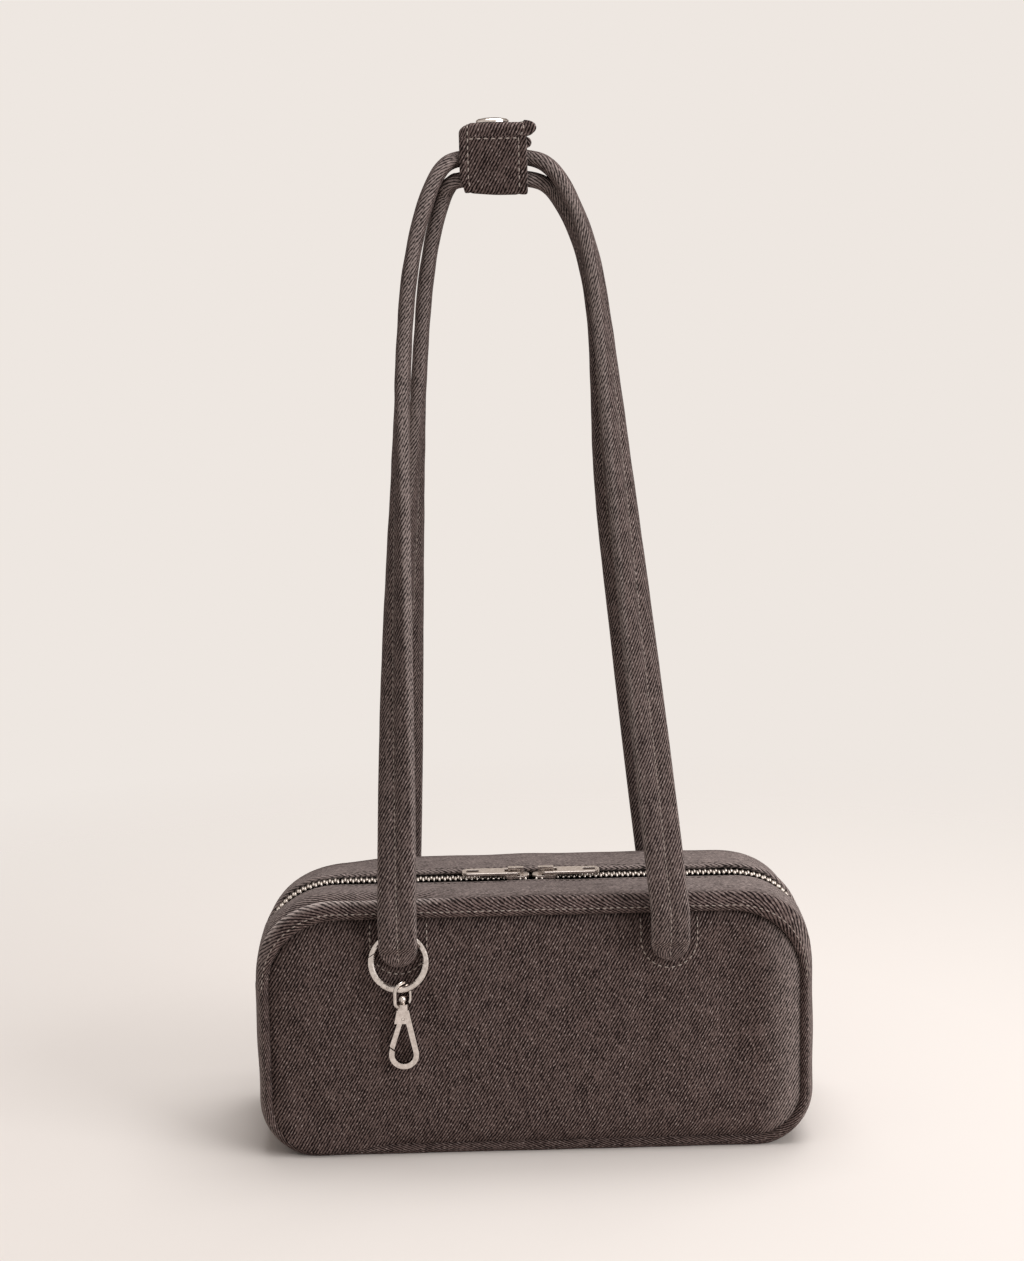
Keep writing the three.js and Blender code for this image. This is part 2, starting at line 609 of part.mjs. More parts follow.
const tub = upright(tubLoop(LINING_INSET, LINING_TOP), [], 2 * LINING_OUT);
const hollow = upright(tubLoop(LINING_INSET + LINING, LINING_TOP + 8), [], 2 * (LINING_OUT - LINING));
add('lining', cut(tub, hollow), liningCloth);
const boardLow = CLOTH + GAP + 0.1;
const board = [BOARD_WIDTH / 2, BOARD_DEPTH / 2];
const boardTop = boardLow + BOARD_THICK;
add('base_board', block(-board[0], board[0], -board[1], board[1], boardLow, boardTop), boardStock);
for (const [name, side] of [['front', -1], ['rear', 1]]) {
  const interlining = upright(insetLoop(LINING_INSET + GAP, 7), [], INTERLINING);
  const middle = side * (INTERLINING_OUT + INTERLINING_IN) / 2;
  add(`${name}_interlining`, interlining.translate(0, middle, 0), liningCloth);
  const edge = HALF_DEPTH - CLOTH - GAP * 2;
  const bindingHole = insetLoop(BINDING_INSET + BINDING_THICK, 7);
  const binding = upright(insetLoop(BINDING_INSET, 7), [bindingHole], BINDING_WIDTH);
  add(`${name}_seam_binding`, binding.translate(0, side * (edge - BINDING_WIDTH / 2), 0), liningCloth);
  for (const [hand, sign] of [['left', -1], ['right', 1]]) {
    const x = sign * HANDLE_SPREAD;
    const half = PATCH_WIDTH / 2;
    const low = STRAP_END_Z - PATCH_HEIGHT / 2;
    const ys = [side * PATCH_OUT, side * (PATCH_OUT - PATCH_THICK)].sort((a, b) => a - b);
    add(`${name}_${hand}_patch`, block(x - half, x + half, ...ys, low, low + PATCH_HEIGHT), liningCloth);
  }
}

// Strap section: two padded channels with a groove along the centre stitch
function strapRing(centre, across, normal, widthShare = 1) {
  return span(0, 360, 13).slice(0, 12).map((degrees) => {
    const c = Math.cos(rad(degrees));
    const s = Math.sin(rad(degrees));
    const w = (STRAP_WIDTH / 2) * widthShare * Math.sign(c) * Math.abs(c) ** 0.8;
    const groove = 1 - STRAP_GROOVE * Math.exp(-((w / 2.4) ** 2));
    const t = (STRAP_THICK / 2) * groove * Math.sign(s) * Math.abs(s) ** 0.6;
    return centre.clone().addScaledVector(across, w).addScaledVector(normal, t);
  });
}

const SEAT = panelFace(HANDLE_SPREAD - STRAP_WIDTH / 2, STRAP_END_Z) + GAP + STRAP_THICK / 2;
const FOOT_Y = SEAT + STRAP_STANDOFF;

// Middle of a strap leg at a height; side is -1 left or 1 right, face is -1 front or 1 rear
function legPoint(side, face, z) {
  const inset = side < 0 ? LEFT_REAR_INSET : -RIGHT_REAR_INSET;
  const shoulder = (side < 0 ? LEFT_SHOULDER : RIGHT_SHOULDER) + (face > 0 ? inset : 0);
  const t = Math.max(0, (z - FOOT_Z) / (SHOULDER_Z - FOOT_Z));
  const bow = side < 0 ? -LEG_BOW * Math.sin(Math.PI * t) : 0;
  const x = side * HANDLE_SPREAD + (shoulder - side * HANDLE_SPREAD) * t + bow;
  const standing = SEAT + STRAP_STANDOFF * ease(SEWN_TOP_Z, FREE_FROM_Z, z);
  const y = z < FOOT_Z ? standing : FOOT_Y * (1 - (z - FOOT_Z) / (CREST_Z - FOOT_Z));
  return vec(x, face * y, z);
}

// Normal of the strap's outer face: faces out from the panel at the foot and turns to face outwards
function strapFrame(side, face, tangent, z) {
  const twistEnd = side < 0 ? LEFT_TWIST_Z : RIGHT_TWIST_Z;
  const turn = THREE.MathUtils.clamp((z - TWIST_FROM_Z) / (twistEnd - TWIST_FROM_Z), 0, 1) * Math.PI / 2;
  const outwards = vec(-tangent.z, 0, tangent.x).normalize();
  const normal = vec(0, face * Math.cos(turn), 0).addScaledVector(outwards, Math.sin(turn));
  normal.addScaledVector(tangent, -normal.dot(tangent)).normalize();
  return { normal, across: tangent.clone().cross(normal) };
}

// Handle loop: up the left leg, over the top through the wrap and down the right leg
function handleLoop(face) {
  const crest = CREST_Z - (face > 0 ? STACK : 0);
  const crestHalf = WRAP_WIDTH / 2 + 1.5;
  const legHeights = [STRAP_SPLIT_Z + GAP / 2, LOWER_LEG_Z, UPPER_LEG_Z, SHOULDER_Z];
  const shoulderArc = (side) => [22, 46, 70].map((degrees) => {
    const foot = legPoint(side, face, SHOULDER_Z);
    const edge = WRAP_X + side * crestHalf;
    const a = rad(degrees);
    const x = edge + (foot.x - edge) * Math.cos(a) - side * 2.4 * Math.sin(2 * a);
    const z = SHOULDER_Z + (crest - SHOULDER_Z) * Math.sin(a);
    return vec(x, foot.y * Math.cos(a), z);
  });
  const top = [-1, 0, 1].map((share) => vec(WRAP_X + share * crestHalf, 0, crest));
  const left = [...legHeights.map((z) => legPoint(-1, face, z)), ...shoulderArc(-1)];
  const right = [...legHeights.map((z) => legPoint(1, face, z)), ...shoulderArc(1)];
  const curve = new THREE.CatmullRomCurve3([...left, ...top, ...right.reverse()]);
  const rings = span(0, 1, 41).map((t) => {
    const centre = curve.getPointAt(t);
    const tangent = curve.getTangentAt(t);
    const { normal, across } = strapFrame(centre.x < WRAP_X ? -1 : 1, face, tangent, centre.z);
    return strapRing(centre, across, normal);
  });
  return loft(rings);
}

add('front_handle', handleLoop(-1), denim);
add('rear_handle', handleLoop(1), denim);

// Sewn strap end: a rounded tip on the panel, then a step out that leaves room for the ring wire
function strapEnd(side, face) {
  const tip = STRAP_WIDTH / 2;
  const rounded = [24, 46, 68].map((degrees) => {
    const a = rad(degrees);
    return [STRAP_END_Z + tip * (1 - Math.cos(a)) * 0.6, Math.sin(a)];
  });
  const step = span(SEWN_TOP_Z, FREE_FROM_Z, 4).slice(1);
  const leg = span(FOOT_Z, STRAP_SPLIT_Z - GAP / 2, 3);
  const straight = [...step, (FREE_FROM_Z + FOOT_Z) / 2, ...leg].map((z) => [z, 1]);
  const rings = [...rounded, ...straight].map(([z, share]) => {
    const centre = legPoint(side, face, z);
    const tangent = z < FOOT_Z ? vec(0, 0, 1) : legPoint(side, face, z + 1).sub(centre).normalize();
    const upward = side < 0 ? tangent : tangent.clone().negate();
    const { normal, across } = strapFrame(side, face, upward, z);
    return strapRing(centre, across, normal, share);
  });
  return loft(rings);
}

for (const [face, faceSign] of [['front', -1], ['rear', 1]]) {
  for (const [hand, side] of [['left', -1], ['right', 1]]) {
    add(`${face}_${hand}_strap_end`, strapEnd(side, faceSign), denim);
  }
}

// Wrap: a band under both straps, an inner layer over them from the rear, and a flap back from the front
const WRAP_HALF = STRAP_WIDTH / 2 + WRAP_ROOM + WRAP_CLOTH;
const WRAP_LOW = CREST_Z - STACK - STRAP_THICK / 2 - WRAP_ROOM - WRAP_CLOTH;
const INNER_TOP = CREST_Z + STRAP_THICK / 2 + WRAP_HEADROOM + WRAP_CLOTH;
const FLAP_LOW = INNER_TOP + FLAP_LIFT;
const FLAP_ROOT = FLAP_LOW - FLAP_ROOT_DROP;

// Strip with rounded corners in the YZ plane, run along X for the width of the wrap
function strip(pathOuter, pathInner, x0, x1) {
  const ring = [...pathOuter, ...pathInner.slice().reverse()];
  const shape = new THREE.Shape(ring.map(([y, z]) => new THREE.Vector2(y, z)));
  const geometry = new THREE.ExtrudeGeometry(shape, { depth: x1 - x0, bevelEnabled: false });
  const turn = new THREE.Matrix4().makeBasis(vec(0, 1, 0), vec(0, 0, 1), vec(1, 0, 0));
  return geometry.applyMatrix4(turn).translate(x0, 0, 0);
}

function cornerArc(cy, cz, radius, from, to) {
  return span(from, to, 5).map((a) => [cy + radius * Math.cos(rad(a)), cz + radius * Math.sin(rad(a))]);
}

function bandPath(inset) {
  const r = WRAP_CORNER - inset;
  const side = WRAP_HALF - WRAP_CORNER;
  return [
    [INNER_END_SETBACK - WRAP_HALF, INNER_TOP - inset],
    ...cornerArc(side, INNER_TOP - WRAP_CORNER, r, 90, 0),
    ...cornerArc(side, WRAP_LOW + WRAP_CORNER, r, 0, -90),
    ...cornerArc(-side, WRAP_LOW + WRAP_CORNER, r, 270, 180),
    [inset - WRAP_HALF, FLAP_ROOT - GAP],
  ];
}

function flapPath(inset) {
  const r = WRAP_CORNER - inset;
  const side = WRAP_HALF - WRAP_CORNER;
  const top = FLAP_LOW + WRAP_CLOTH;
  return [
    [inset - WRAP_HALF, FLAP_ROOT],
    ...cornerArc(-side, top - WRAP_CORNER, r, 180, 90),
    [WRAP_HALF + FLAP_OVERHANG, top - inset],
  ];
}

const wrapLeft = WRAP_X - WRAP_WIDTH / 2;
const wrapRight = WRAP_X + WRAP_WIDTH / 2;
add('wrap_band', strip(bandPath(0), bandPath(WRAP_CLOTH), wrapLeft, wrapRight), denim);
add('wrap_flap', strip(flapPath(0), flapPath(WRAP_CLOTH), wrapLeft, wrapRight), denim);

// Press stud: domed cap and socket on the flap, stud and backing disc on the inner layer
const capLow = FLAP_LOW + WRAP_CLOTH + GAP;
const capProfile = [[0, capLow], [SNAP_RADIUS, capLow], [SNAP_RADIUS, capLow + SNAP_RIM]];
for (const a of [30, 60]) {
  const rise = SNAP_RIM + (SNAP_DOME - SNAP_RIM) * Math.sin(rad(a));
  capProfile.push([SNAP_RADIUS * Math.cos(rad(a)), capLow + rise]);
}
capProfile.push([0, capLow + SNAP_DOME]);
add('snap_cap', turned(capProfile).translate(WRAP_X, 0, 0), nickel);
const socketTop = FLAP_LOW - GAP;
const disc = (radius, low, top) => turned([[0, low], [radius, low], [radius, top], [0, top]]);
const socketLow = socketTop - SOCKET_HEIGHT;
const socketHole = disc(SOCKET_HOLE, socketLow - 1, socketTop - 0.4);
const socket = cut(disc(SOCKET_RADIUS, socketLow, socketTop), socketHole);
add('snap_socket', socket.translate(WRAP_X, 0, 0), nickel);
const studLow = INNER_TOP + GAP / 2;
const stud = [
  [0, studLow], [STUD_RADIUS + 0.6, studLow], [STUD_RADIUS, studLow + STUD_FLANGE],
  [STUD_RADIUS, studLow + STUD_HEIGHT - 0.4], [STUD_RADIUS - 0.5, studLow + STUD_HEIGHT - 0.2],
  [0, studLow + STUD_HEIGHT - 0.2],
];
add('snap_stud', turned(stud).translate(WRAP_X, 0, 0), nickel);
const backTop = INNER_TOP - WRAP_CLOTH - GAP;
add('snap_back', disc(SOCKET_RADIUS, backTop - BACK_THICK, backTop).translate(WRAP_X, 0, 0), nickel);

// Gate ring, drawn upright round its own middle and then leaned out about its top wire
const RING_Y = -(panelFace(RING_X, RING_TOP_Z) + GAP + RING_WIRE);
const onCircle = (radius, degrees) => [radius * Math.cos(rad(degrees)), radius * Math.sin(rad(degrees))];

function ringPoint(degrees) {
  const [x, z] = onCircle(RING_RADIUS, degrees);
  return vec(x, 0, z);
}

function placeRing(geometry) {
  geometry.translate(0, 0, -RING_RADIUS).rotateX(rad(-RING_TILT));
  return geometry.translate(RING_X, RING_Y, RING_TOP_Z);
}

const ringArc = (from, to, steps) => wire((t) => ringPoint(from + (to - from) * t), RING_WIRE, steps, 14);
const tongueTurn = THREE.MathUtils.radToDeg(TONGUE_LENGTH / RING_RADIUS);
const cheekTurn = THREE.MathUtils.radToDeg(TONGUE_CLEARANCE / RING_RADIUS);
const pinAt = ringPoint(GATE_TO);

// Flat slab across the wire at the hinge, long enough for the turning tongue
function hingeSlab(thick, from, to, reach) {
  const inner = RING_RADIUS - reach;
  const outer = RING_RADIUS + reach;
  const angles = span(from, to, 5);
  const ring = [
    ...angles.map((a) => onCircle(inner, a)),
    ...angles.reverse().map((a) => onCircle(outer, a)),
  ];
  return upright(ring, [], thick);
}

const slotTurn = tongueTurn + cheekTurn * 2;
const slotThick = TONGUE_THICK + 2 * TONGUE_CLEARANCE;
const ringSlot = hingeSlab(slotThick, GATE_TO - slotTurn, GATE_TO + slotTurn, RING_WIRE + 1);
const pinHole = rod(PIN_RADIUS + PIN_CLEARANCE, 4 * RING_WIRE).translate(pinAt.x, 0, pinAt.z);

// Block on one side of the slanted seam between the ring and the gate's free end
function seamBlock(from, to) {
  const middle = ringPoint(GATE_FROM);
  const slab = block(-6, 6, -2 * RING_WIRE, 2 * RING_WIRE, from, to);
  return slab.rotateY(-rad(GATE_FROM + 180 + SEAM_SLANT)).translate(middle.x, 0, middle.z);
}

const ringBody = ringArc(GATE_TO - tongueTurn, 360 + GATE_FROM + SEAM_LAP, 46);
add('gate_ring', placeRing(cut(ringBody, ringSlot, pinHole, seamBlock(-8, GATE_SEAM / 2))), nickel);
const gateEnd = GATE_TO - slotTurn - cheekTurn;
const fullArc = ringArc(GATE_FROM - SEAM_LAP, gateEnd, 15);
const gateArc = cut(fullArc, seamBlock(-GATE_SEAM / 2, 8));
const tongueEnd = GATE_TO + tongueTurn * 0.6;
const tongue = hingeSlab(TONGUE_THICK, gateEnd - cheekTurn * 2, tongueEnd, RING_WIRE * 0.7);
add('ring_gate', placeRing(cut(join(gateArc, tongue), pinHole.clone())), nickel);
const ringPin = rod(PIN_RADIUS, 2 * RING_WIRE * 0.94).translate(pinAt.x, 0, pinAt.z);
add('ring_gate_pin', placeRing(ringPin), nickel);

// Hook eye: wire stirrup over the ring's lower wire, closed below by the swivel collar
const eyeSide = HOOK_X - RING_X;
const lowWire = Math.sqrt(RING_RADIUS ** 2 - eyeSide ** 2) + RING_RADIUS;
const HOOK_Y = RING_Y - lowWire * Math.sin(rad(RING_TILT));
const WIRE_Z = RING_TOP_Z - lowWire * Math.cos(rad(RING_TILT));
const EYE_CROWN = WIRE_Z + RING_WIRE + EYE_SEAT + EYE_WIRE;
const DISC_TOP = EYE_CROWN - EYE_DROP;

// Upright rod on the swivel's line
function swivelRod(radius, length, segments) {
  return rod(radius, length, segments).rotateX(Math.PI / 2).translate(0, 0, DISC_TOP - SWIVEL_THICK / 2);
}

function hookEye() {
  const corner = (Math.PI / 2) * EYE_CURL;
  const leg = EYE_DROP + SWIVEL_THICK / 2 - EYE_HALF - EYE_CURL;
  const half = corner + leg + (Math.PI / 2) * EYE_HALF;
  const low = DISC_TOP - SWIVEL_THICK / 2 + EYE_CURL;
  const path = (t) => {
    const side = t < 0.5 ? -1 : 1;
    const s = Math.min(t, 1 - t) * 2 * half;
    if (s < corner) {
      const a = s / EYE_CURL;
      return vec(side * (EYE_HALF - EYE_CURL + EYE_CURL * Math.sin(a)), 0, low - EYE_CURL * Math.cos(a));
    }
    if (s < corner + leg) return vec(side * EYE_HALF, 0, low + s - corner);
    const a = (s - corner - leg) / EYE_HALF;
    return vec(side * EYE_HALF * Math.cos(a), 0, EYE_CROWN - EYE_HALF + EYE_HALF * Math.sin(a));
  };
  const collar = swivelRod(SWIVEL_RADIUS, SWIVEL_THICK, 28);
  const bore = swivelRod(POST_RADIUS + POST_CLEARANCE, 6, 20);
  const eye = cut(join(wire(path, EYE_WIRE, 44, 12), collar), bore);
  return eye.rotateZ(rad(EYE_TURN)).translate(HOOK_X, HOOK_Y, 0);
}

add('hook_eye', hookEye(), nickel);

// Swivel hook: post with a ball head, and a flat pear-shaped frame open on its left side
const HOOK_TOP = DISC_TOP - SWIVEL_THICK - GAP;

function pear(neck, bow, top, low, steps) {
  const centre = low + bow;
  const right = span(-90, 12, steps).map((a) => [bow * Math.cos(rad(a)), centre + bow * Math.sin(rad(a))]);
  const left = right.slice(1).reverse().map(([x, z]) => [-x, z]);
  return [...right, [neck, top], [-neck, top], ...left];
}

// Sloping line that the gate's foot rests on, at the given height under the middle of the foot
const GATE_FOOT = -HOOK_BOW + HOOK_BAR * 0.55;
const footLine = (x, z) => z - GATE_FOOT_SLOPE * (x - GATE_FOOT);

function snapHook() {
  const low = HOOK_TOP - HOOK_LENGTH;
  const outer = pear(HOOK_NECK, HOOK_BOW, HOOK_TOP, low, 16);
  const inner = pear(THROAT_HALF, HOOK_BOW - HOOK_BAR, HOOK_TOP - THROAT_TOP, low + HOOK_BAR, 14);
  const frame = upright(outer, [inner], HOOK_THICK);
  const gateLow = HOOK_TOP - HOOK_GATE_TOP - HOOK_GATE_LENGTH;
  const opening = (right, top) => [
    [-HOOK_BOW - 2, footLine(-HOOK_BOW - 2, gateLow)], [right, footLine(right, gateLow)], [right, top],
    [-HOOK_BOW - 2, top],
  ];
  const mouth = upright(opening(-0.9, HOOK_TOP - THROAT_TOP + 0.1), [], 2 * HOOK_THICK);
  const pocket = upright(opening(1.6, HOOK_TOP - 2.2), [], HOOK_GATE_THICK + 2 * GAP);
  const pinHole = rod(RIVET_RADIUS + RIVET_CLEARANCE, 8).translate(0, 0, HOOK_TOP - HOOK_GATE_TOP);
  const post = swivelRod(POST_RADIUS, SWIVEL_THICK + 3, 20);
  const ballZ = DISC_TOP + GAP + BALL_RADIUS * 0.8;
  const ball = new THREE.SphereGeometry(BALL_RADIUS, 20, 14).translate(0, 0, ballZ);
  const trimmed = cut(ball, block(-4, 4, -4, 4, DISC_TOP - 4, DISC_TOP + GAP));
  return join(cut(frame, mouth, pocket, pinHole), post, trimmed).translate(HOOK_X, HOOK_Y, 0);
}

add('snap_hook', snapHook(), nickel);

// Hook gate: flat bar from the rivet down the open side of the frame
function hookGate() {
  const top = HOOK_TOP - HOOK_GATE_TOP;
  const low = top - HOOK_GATE_LENGTH + GAP;
  const outer = [
    [-1.7, top + 0.9], [0, top + 1.6], [1.2, top + 1], [1.2, top - 1], [-0.4, top - 2],
    [GATE_FOOT + 1, footLine(GATE_FOOT + 1, low)], [GATE_FOOT - 1.1, footLine(GATE_FOOT - 1.1, low)],
    [-2.9, top - 2.4],
  ];
  const gate = upright(outer, [], HOOK_GATE_THICK);
  const hole = rod(RIVET_RADIUS + RIVET_CLEARANCE, 8).translate(0, 0, top);
  return cut(gate, hole).translate(HOOK_X, HOOK_Y, 0);
}

add('hook_gate', hookGate(), nickel);
const rivet = rod(RIVET_RADIUS, HOOK_THICK).translate(HOOK_X, HOOK_Y, HOOK_TOP - HOOK_GATE_TOP);
add('hook_gate_rivet', rivet, nickel);

export default group;
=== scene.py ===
# %% [markdown]
# # A denim bowler bag
# This lesson dresses a small padded bag, cell by cell. The frame already holds every rigid solid and
# every joint, so each new piece is worked out in the same millimetres, and many are then told which
# body carries them.

from math import cos, pi, radians, sin

import bmesh
import bpy
import numpy as np
from mathutils import Matrix, Vector


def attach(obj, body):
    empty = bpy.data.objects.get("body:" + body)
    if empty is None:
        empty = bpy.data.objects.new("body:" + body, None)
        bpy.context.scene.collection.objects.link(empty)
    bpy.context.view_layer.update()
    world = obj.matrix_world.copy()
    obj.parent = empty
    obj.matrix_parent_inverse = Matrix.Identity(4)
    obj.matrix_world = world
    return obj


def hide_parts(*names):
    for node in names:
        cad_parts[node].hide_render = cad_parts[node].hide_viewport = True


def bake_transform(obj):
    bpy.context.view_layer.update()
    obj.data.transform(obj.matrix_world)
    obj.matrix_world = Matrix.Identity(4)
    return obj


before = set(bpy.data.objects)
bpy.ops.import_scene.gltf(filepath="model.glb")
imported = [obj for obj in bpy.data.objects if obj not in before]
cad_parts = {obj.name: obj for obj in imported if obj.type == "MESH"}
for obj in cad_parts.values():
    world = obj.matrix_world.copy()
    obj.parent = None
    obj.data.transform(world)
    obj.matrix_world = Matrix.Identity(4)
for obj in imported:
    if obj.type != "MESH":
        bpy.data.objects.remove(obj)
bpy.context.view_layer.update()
MM = 0.001  # the sizes below are millimetres, and Blender works in metres

# %% [markdown]
# ## The camera
# The photograph was taken from a little above the bag, slightly to its left. Its distance, tilt and focal
# length were found by laying the solids over the picture. Building the three axes by hand keeps the small
# roll.

# %% Camera
CAMERA_AT = (-20.1, -1150.0, 445.3)
CAMERA_PITCH = 0.1738  # radians below level
CAMERA_YAW = 0.0118
CAMERA_ROLL = 0.0218
CAMERA_NEAR = 10.0  # nothing closer than this is drawn
PICTURE_TALL = 1261
FOCAL_PIXELS = 2457.1

ahead = np.array([sin(CAMERA_YAW), cos(CAMERA_YAW), 0.0])
forward = cos(CAMERA_PITCH) * ahead - sin(CAMERA_PITCH) * np.array([0.0, 0.0, 1.0])
level = np.array([cos(CAMERA_YAW), -sin(CAMERA_YAW), 0.0])
upward = np.cross(level, forward)
right_axis = cos(CAMERA_ROLL) * level - sin(CAMERA_ROLL) * upward
up_axis = sin(CAMERA_ROLL) * level + cos(CAMERA_ROLL) * upward
camera = bpy.data.objects.new("camera", bpy.data.cameras.new("camera"))
camera.data.lens = FOCAL_PIXELS * camera.data.sensor_width / PICTURE_TALL
camera.data.clip_start = CAMERA_NEAR * MM
turned = np.eye(4)
turned[:3, :3] = np.column_stack([right_axis, up_axis, -forward])
turned[:3, 3] = np.array(CAMERA_AT) * MM
camera.matrix_world = Matrix(turned.tolist())
bpy.context.scene.collection.objects.link(camera)
bpy.context.scene.camera = camera
print("lens:", round(camera.data.lens, 2))

# %% [markdown]
# ## Helpers for meshes
# Every new piece is a grid of points: rows along something, columns across it. Where the first and last
# rows or columns lie on each other, merging them closes the seam. Each grid also carries two distances
# over the cloth, so that the weave can follow it, and a number for how much paler each point is painted,
# for wear and for painted light.

# %% Shaping helpers
RIMS = ("first", "last", "left", "right")
MERGE_DISTANCE = 0.002  # points closer than this become one


def unit(v):
    """Vectors scaled to length one."""
    return v / np.linalg.norm(v, axis=-1, keepdims=True)


def smooth(low, high, value):
    """0 below low, 1 above high, and an S-shaped step between."""
    t = np.clip((value - low) / (high - low), 0, 1)
    return t * t * (3 - 2 * t)


def bell(value, middle, width):
    """1 at the middle, falling off on both sides with the square of the distance over the width."""
    return np.exp(-(((value - middle) / width) ** 2))


def squared(wave, power):
    """Cosine or sine raised to a power with its sign kept: a low power squares off a round section."""
    return np.sign(wave) * np.abs(wave) ** power


def spread(*parts):
    """Points from their coordinates, each spread over the rows and columns of the others."""
    return np.stack(np.broadcast_arrays(*parts), axis=-1)


def lengths(line):
    """Distance along a line of points, starting from 0."""
    return np.concatenate([[0.0], np.cumsum(np.linalg.norm(np.diff(line, axis=0), axis=1))])


def read_along(away, values, at):
    """Points or directions kept at distances along a line, read at other distances."""
    return np.stack([np.interp(at, away, values[:, axis]) for axis in range(3)], axis=-1)


def evenly(line, count):
    """The same line as points an equal distance apart."""
    away = lengths(line)
    return read_along(away, line, np.linspace(0, away[-1], count))


print("a smooth step:", smooth(0, 1, np.linspace(0, 1, 5)))

# %% [markdown]
# The next functions turn grids into Blender objects. The points go in as whole arrays, which is far
# quicker than a loop over vertices, and merging doubled points closes tubes and poles.

# %% Mesh helpers


def cloth_of(points):
    """Distances over the cloth: across from the middle row of points, along from the middle column."""
    across = lengths(points[len(points) // 2])
    along = lengths(points[:, points.shape[1] // 2])
    return spread(across[None, :], along[:, None])


def patch(points, cloth=None, wear_and_painted_light=0.0):
    """Grid of points with its cloth distances and its wear and painted light, ready for grid_piece."""
    points = np.asarray(points, float)
    shape = points.shape[:-1]
    cloth = np.zeros((*shape, 2)) if cloth is None else np.broadcast_to(cloth, (*shape, 2))
    return points, cloth, np.broadcast_to(wear_and_painted_light, shape)


def grid_piece(name, material, *patches, sharp=50):
    """Object from grids of points: each four neighbours make a face, and doubled points are merged.
    A grid with one more axis in front is many copies of one shape."""
    points, cloth, wear_and_painted_light, faces = [], [], [], []
    start = 0
    for at, over, worn_and_painted_light in patches:
        rows, columns = at.shape[-3:-1]
        corner = np.arange(rows * columns).reshape(rows, columns)
        quads = np.stack([corner[:-1, :-1], corner[1:, :-1], corner[1:, 1:], corner[:-1, 1:]], axis=-1)
        copies = np.arange(at.size // (3 * rows * columns)) * rows * columns
        faces.append((quads.reshape(1, -1, 4) + copies[:, None, None]).reshape(-1, 4) + start)
        points.append(at.reshape(-1, 3))
        cloth.append(over.reshape(-1, 2))
        wear_and_painted_light.append(worn_and_painted_light.reshape(-1))
        start += at.size // 3
    mesh = bpy.data.meshes.new(name)
    mesh.from_pydata((np.concatenate(points) * MM).tolist(), [], np.concatenate(faces).tolist())
    corners = np.empty(len(mesh.loops), int)
    mesh.loops.foreach_get("vertex_index", corners)
    over = np.concatenate(cloth)[corners].astype(np.float32)
    mesh.uv_layers.new(name="cloth").data.foreach_set("uv", over.ravel())
    worn_and_painted_light = mesh.attributes.new("wear_and_painted_light", "FLOAT", "POINT")
    worn_and_painted_light.data.foreach_set("value", np.concatenate(wear_and_painted_light).astype(np.float32))
    shape = bmesh.new()
    shape.from_mesh(mesh)
    bmesh.ops.remove_doubles(shape, verts=shape.verts, dist=MERGE_DISTANCE * MM)
    bmesh.ops.recalc_face_normals(shape, faces=shape.faces)
    shape.to_mesh(mesh)
    shape.free()
    mesh.shade_smooth()
    mesh.set_sharp_from_angle(angle=radians(sharp))
    mesh.materials.append(material)
    piece = bpy.data.objects.new(name, mesh)
    bpy.context.scene.collection.objects.link(piece)
    print(name, len(mesh.vertices), "points")
    return piece


def sweep(centre, side, out, section):
    """Section points carried along a path: centre + sideways * side + outwards * out."""
    section = np.asarray(section, float)
    section = section if section.ndim == 3 else section[None]
    return centre[:, None] + section[..., 0:1] * side[:, None] + section[..., 1:2] * out[:, None]


def capped(points):
    """The same grid with its first and last rows drawn together to a point, which closes the ends."""
    first = np.broadcast_to(points[:1].mean(axis=1, keepdims=True), points[:1].shape)
    last = np.broadcast_to(points[-1:].mean(axis=1, keepdims=True), points[-1:].shape)
    return np.concatenate([first, points, last])


def shell(outer, inner, cloth, wear_and_painted_light=0.0, rims=RIMS):
    """Closed cloth: two faces of equal grids and a strip along each named rim.
    first and last are rows of the grid, left and right are columns."""
    wear_and_painted_light = np.broadcast_to(wear_and_painted_light, outer.shape[:2])
    edge = dict(zip(RIMS, (np.s_[0], np.s_[-1], np.s_[:, 0], np.s_[:, -1])))
    faces = [patch(outer, cloth, wear_and_painted_light), patch(inner, cloth, wear_and_painted_light)]
    pairs = ((outer, inner), (cloth, cloth), (wear_and_painted_light, wear_and_painted_light))
    strips = [[np.stack([a[edge[rim]], b[edge[rim]]]) for a, b in pairs] for rim in rims]
    return faces + [patch(*strip) for strip in strips]


def carry(piece, body, slot, *nodes):
    """Lets a piece ride on a body and stand for CAD nodes, which it hides. The slot is not used."""
    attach(piece, body)
    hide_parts(*nodes)
    return piece


print("points merge within:", MERGE_DISTANCE, "mm")

# %% [markdown]
# ## Stage and light
# The studio is a pale room with no corners. The camera, and rays mirrored by metal, see its plain colour,
# while all other rays find a dimmer, even light. The floor is a disc of nearly the same colour that fades
# out with distance, so it keeps the bag's shadow and shows no horizon. One wide lamp hangs overhead, and
# a second one fills the shadows from the right.

# %% Stage
BACKDROP = "#eee7e1"
FLOOR = "#ede6e1"
FLOOR_RADIUS = 1500.0
FADE_FROM = 280.0
FADE_TO = 800.0
ROOM_LIGHT = 0.42  # share of full light that the room sends from every side
LAMP_AIM = (0.0, 0.0, 150.0)
LAMPS = {  # place, width and watts of each
    "overhead": ((330, 120, 1700), 1400, 22.5),
    "fill": ((1650, -1250, 850), 1200, 24.0),
}


def linear(code):
    """Linear colour of an sRGB hex code: the standard curve undone for each channel."""
    srgb = np.array([int(code[i:i + 2], 16) for i in (1, 3, 5)]) / 255
    rgb = np.where(srgb <= 0.04045, srgb / 12.92, ((srgb + 0.055) / 1.055) ** 2.4)
    return (*rgb.tolist(), 1.0)


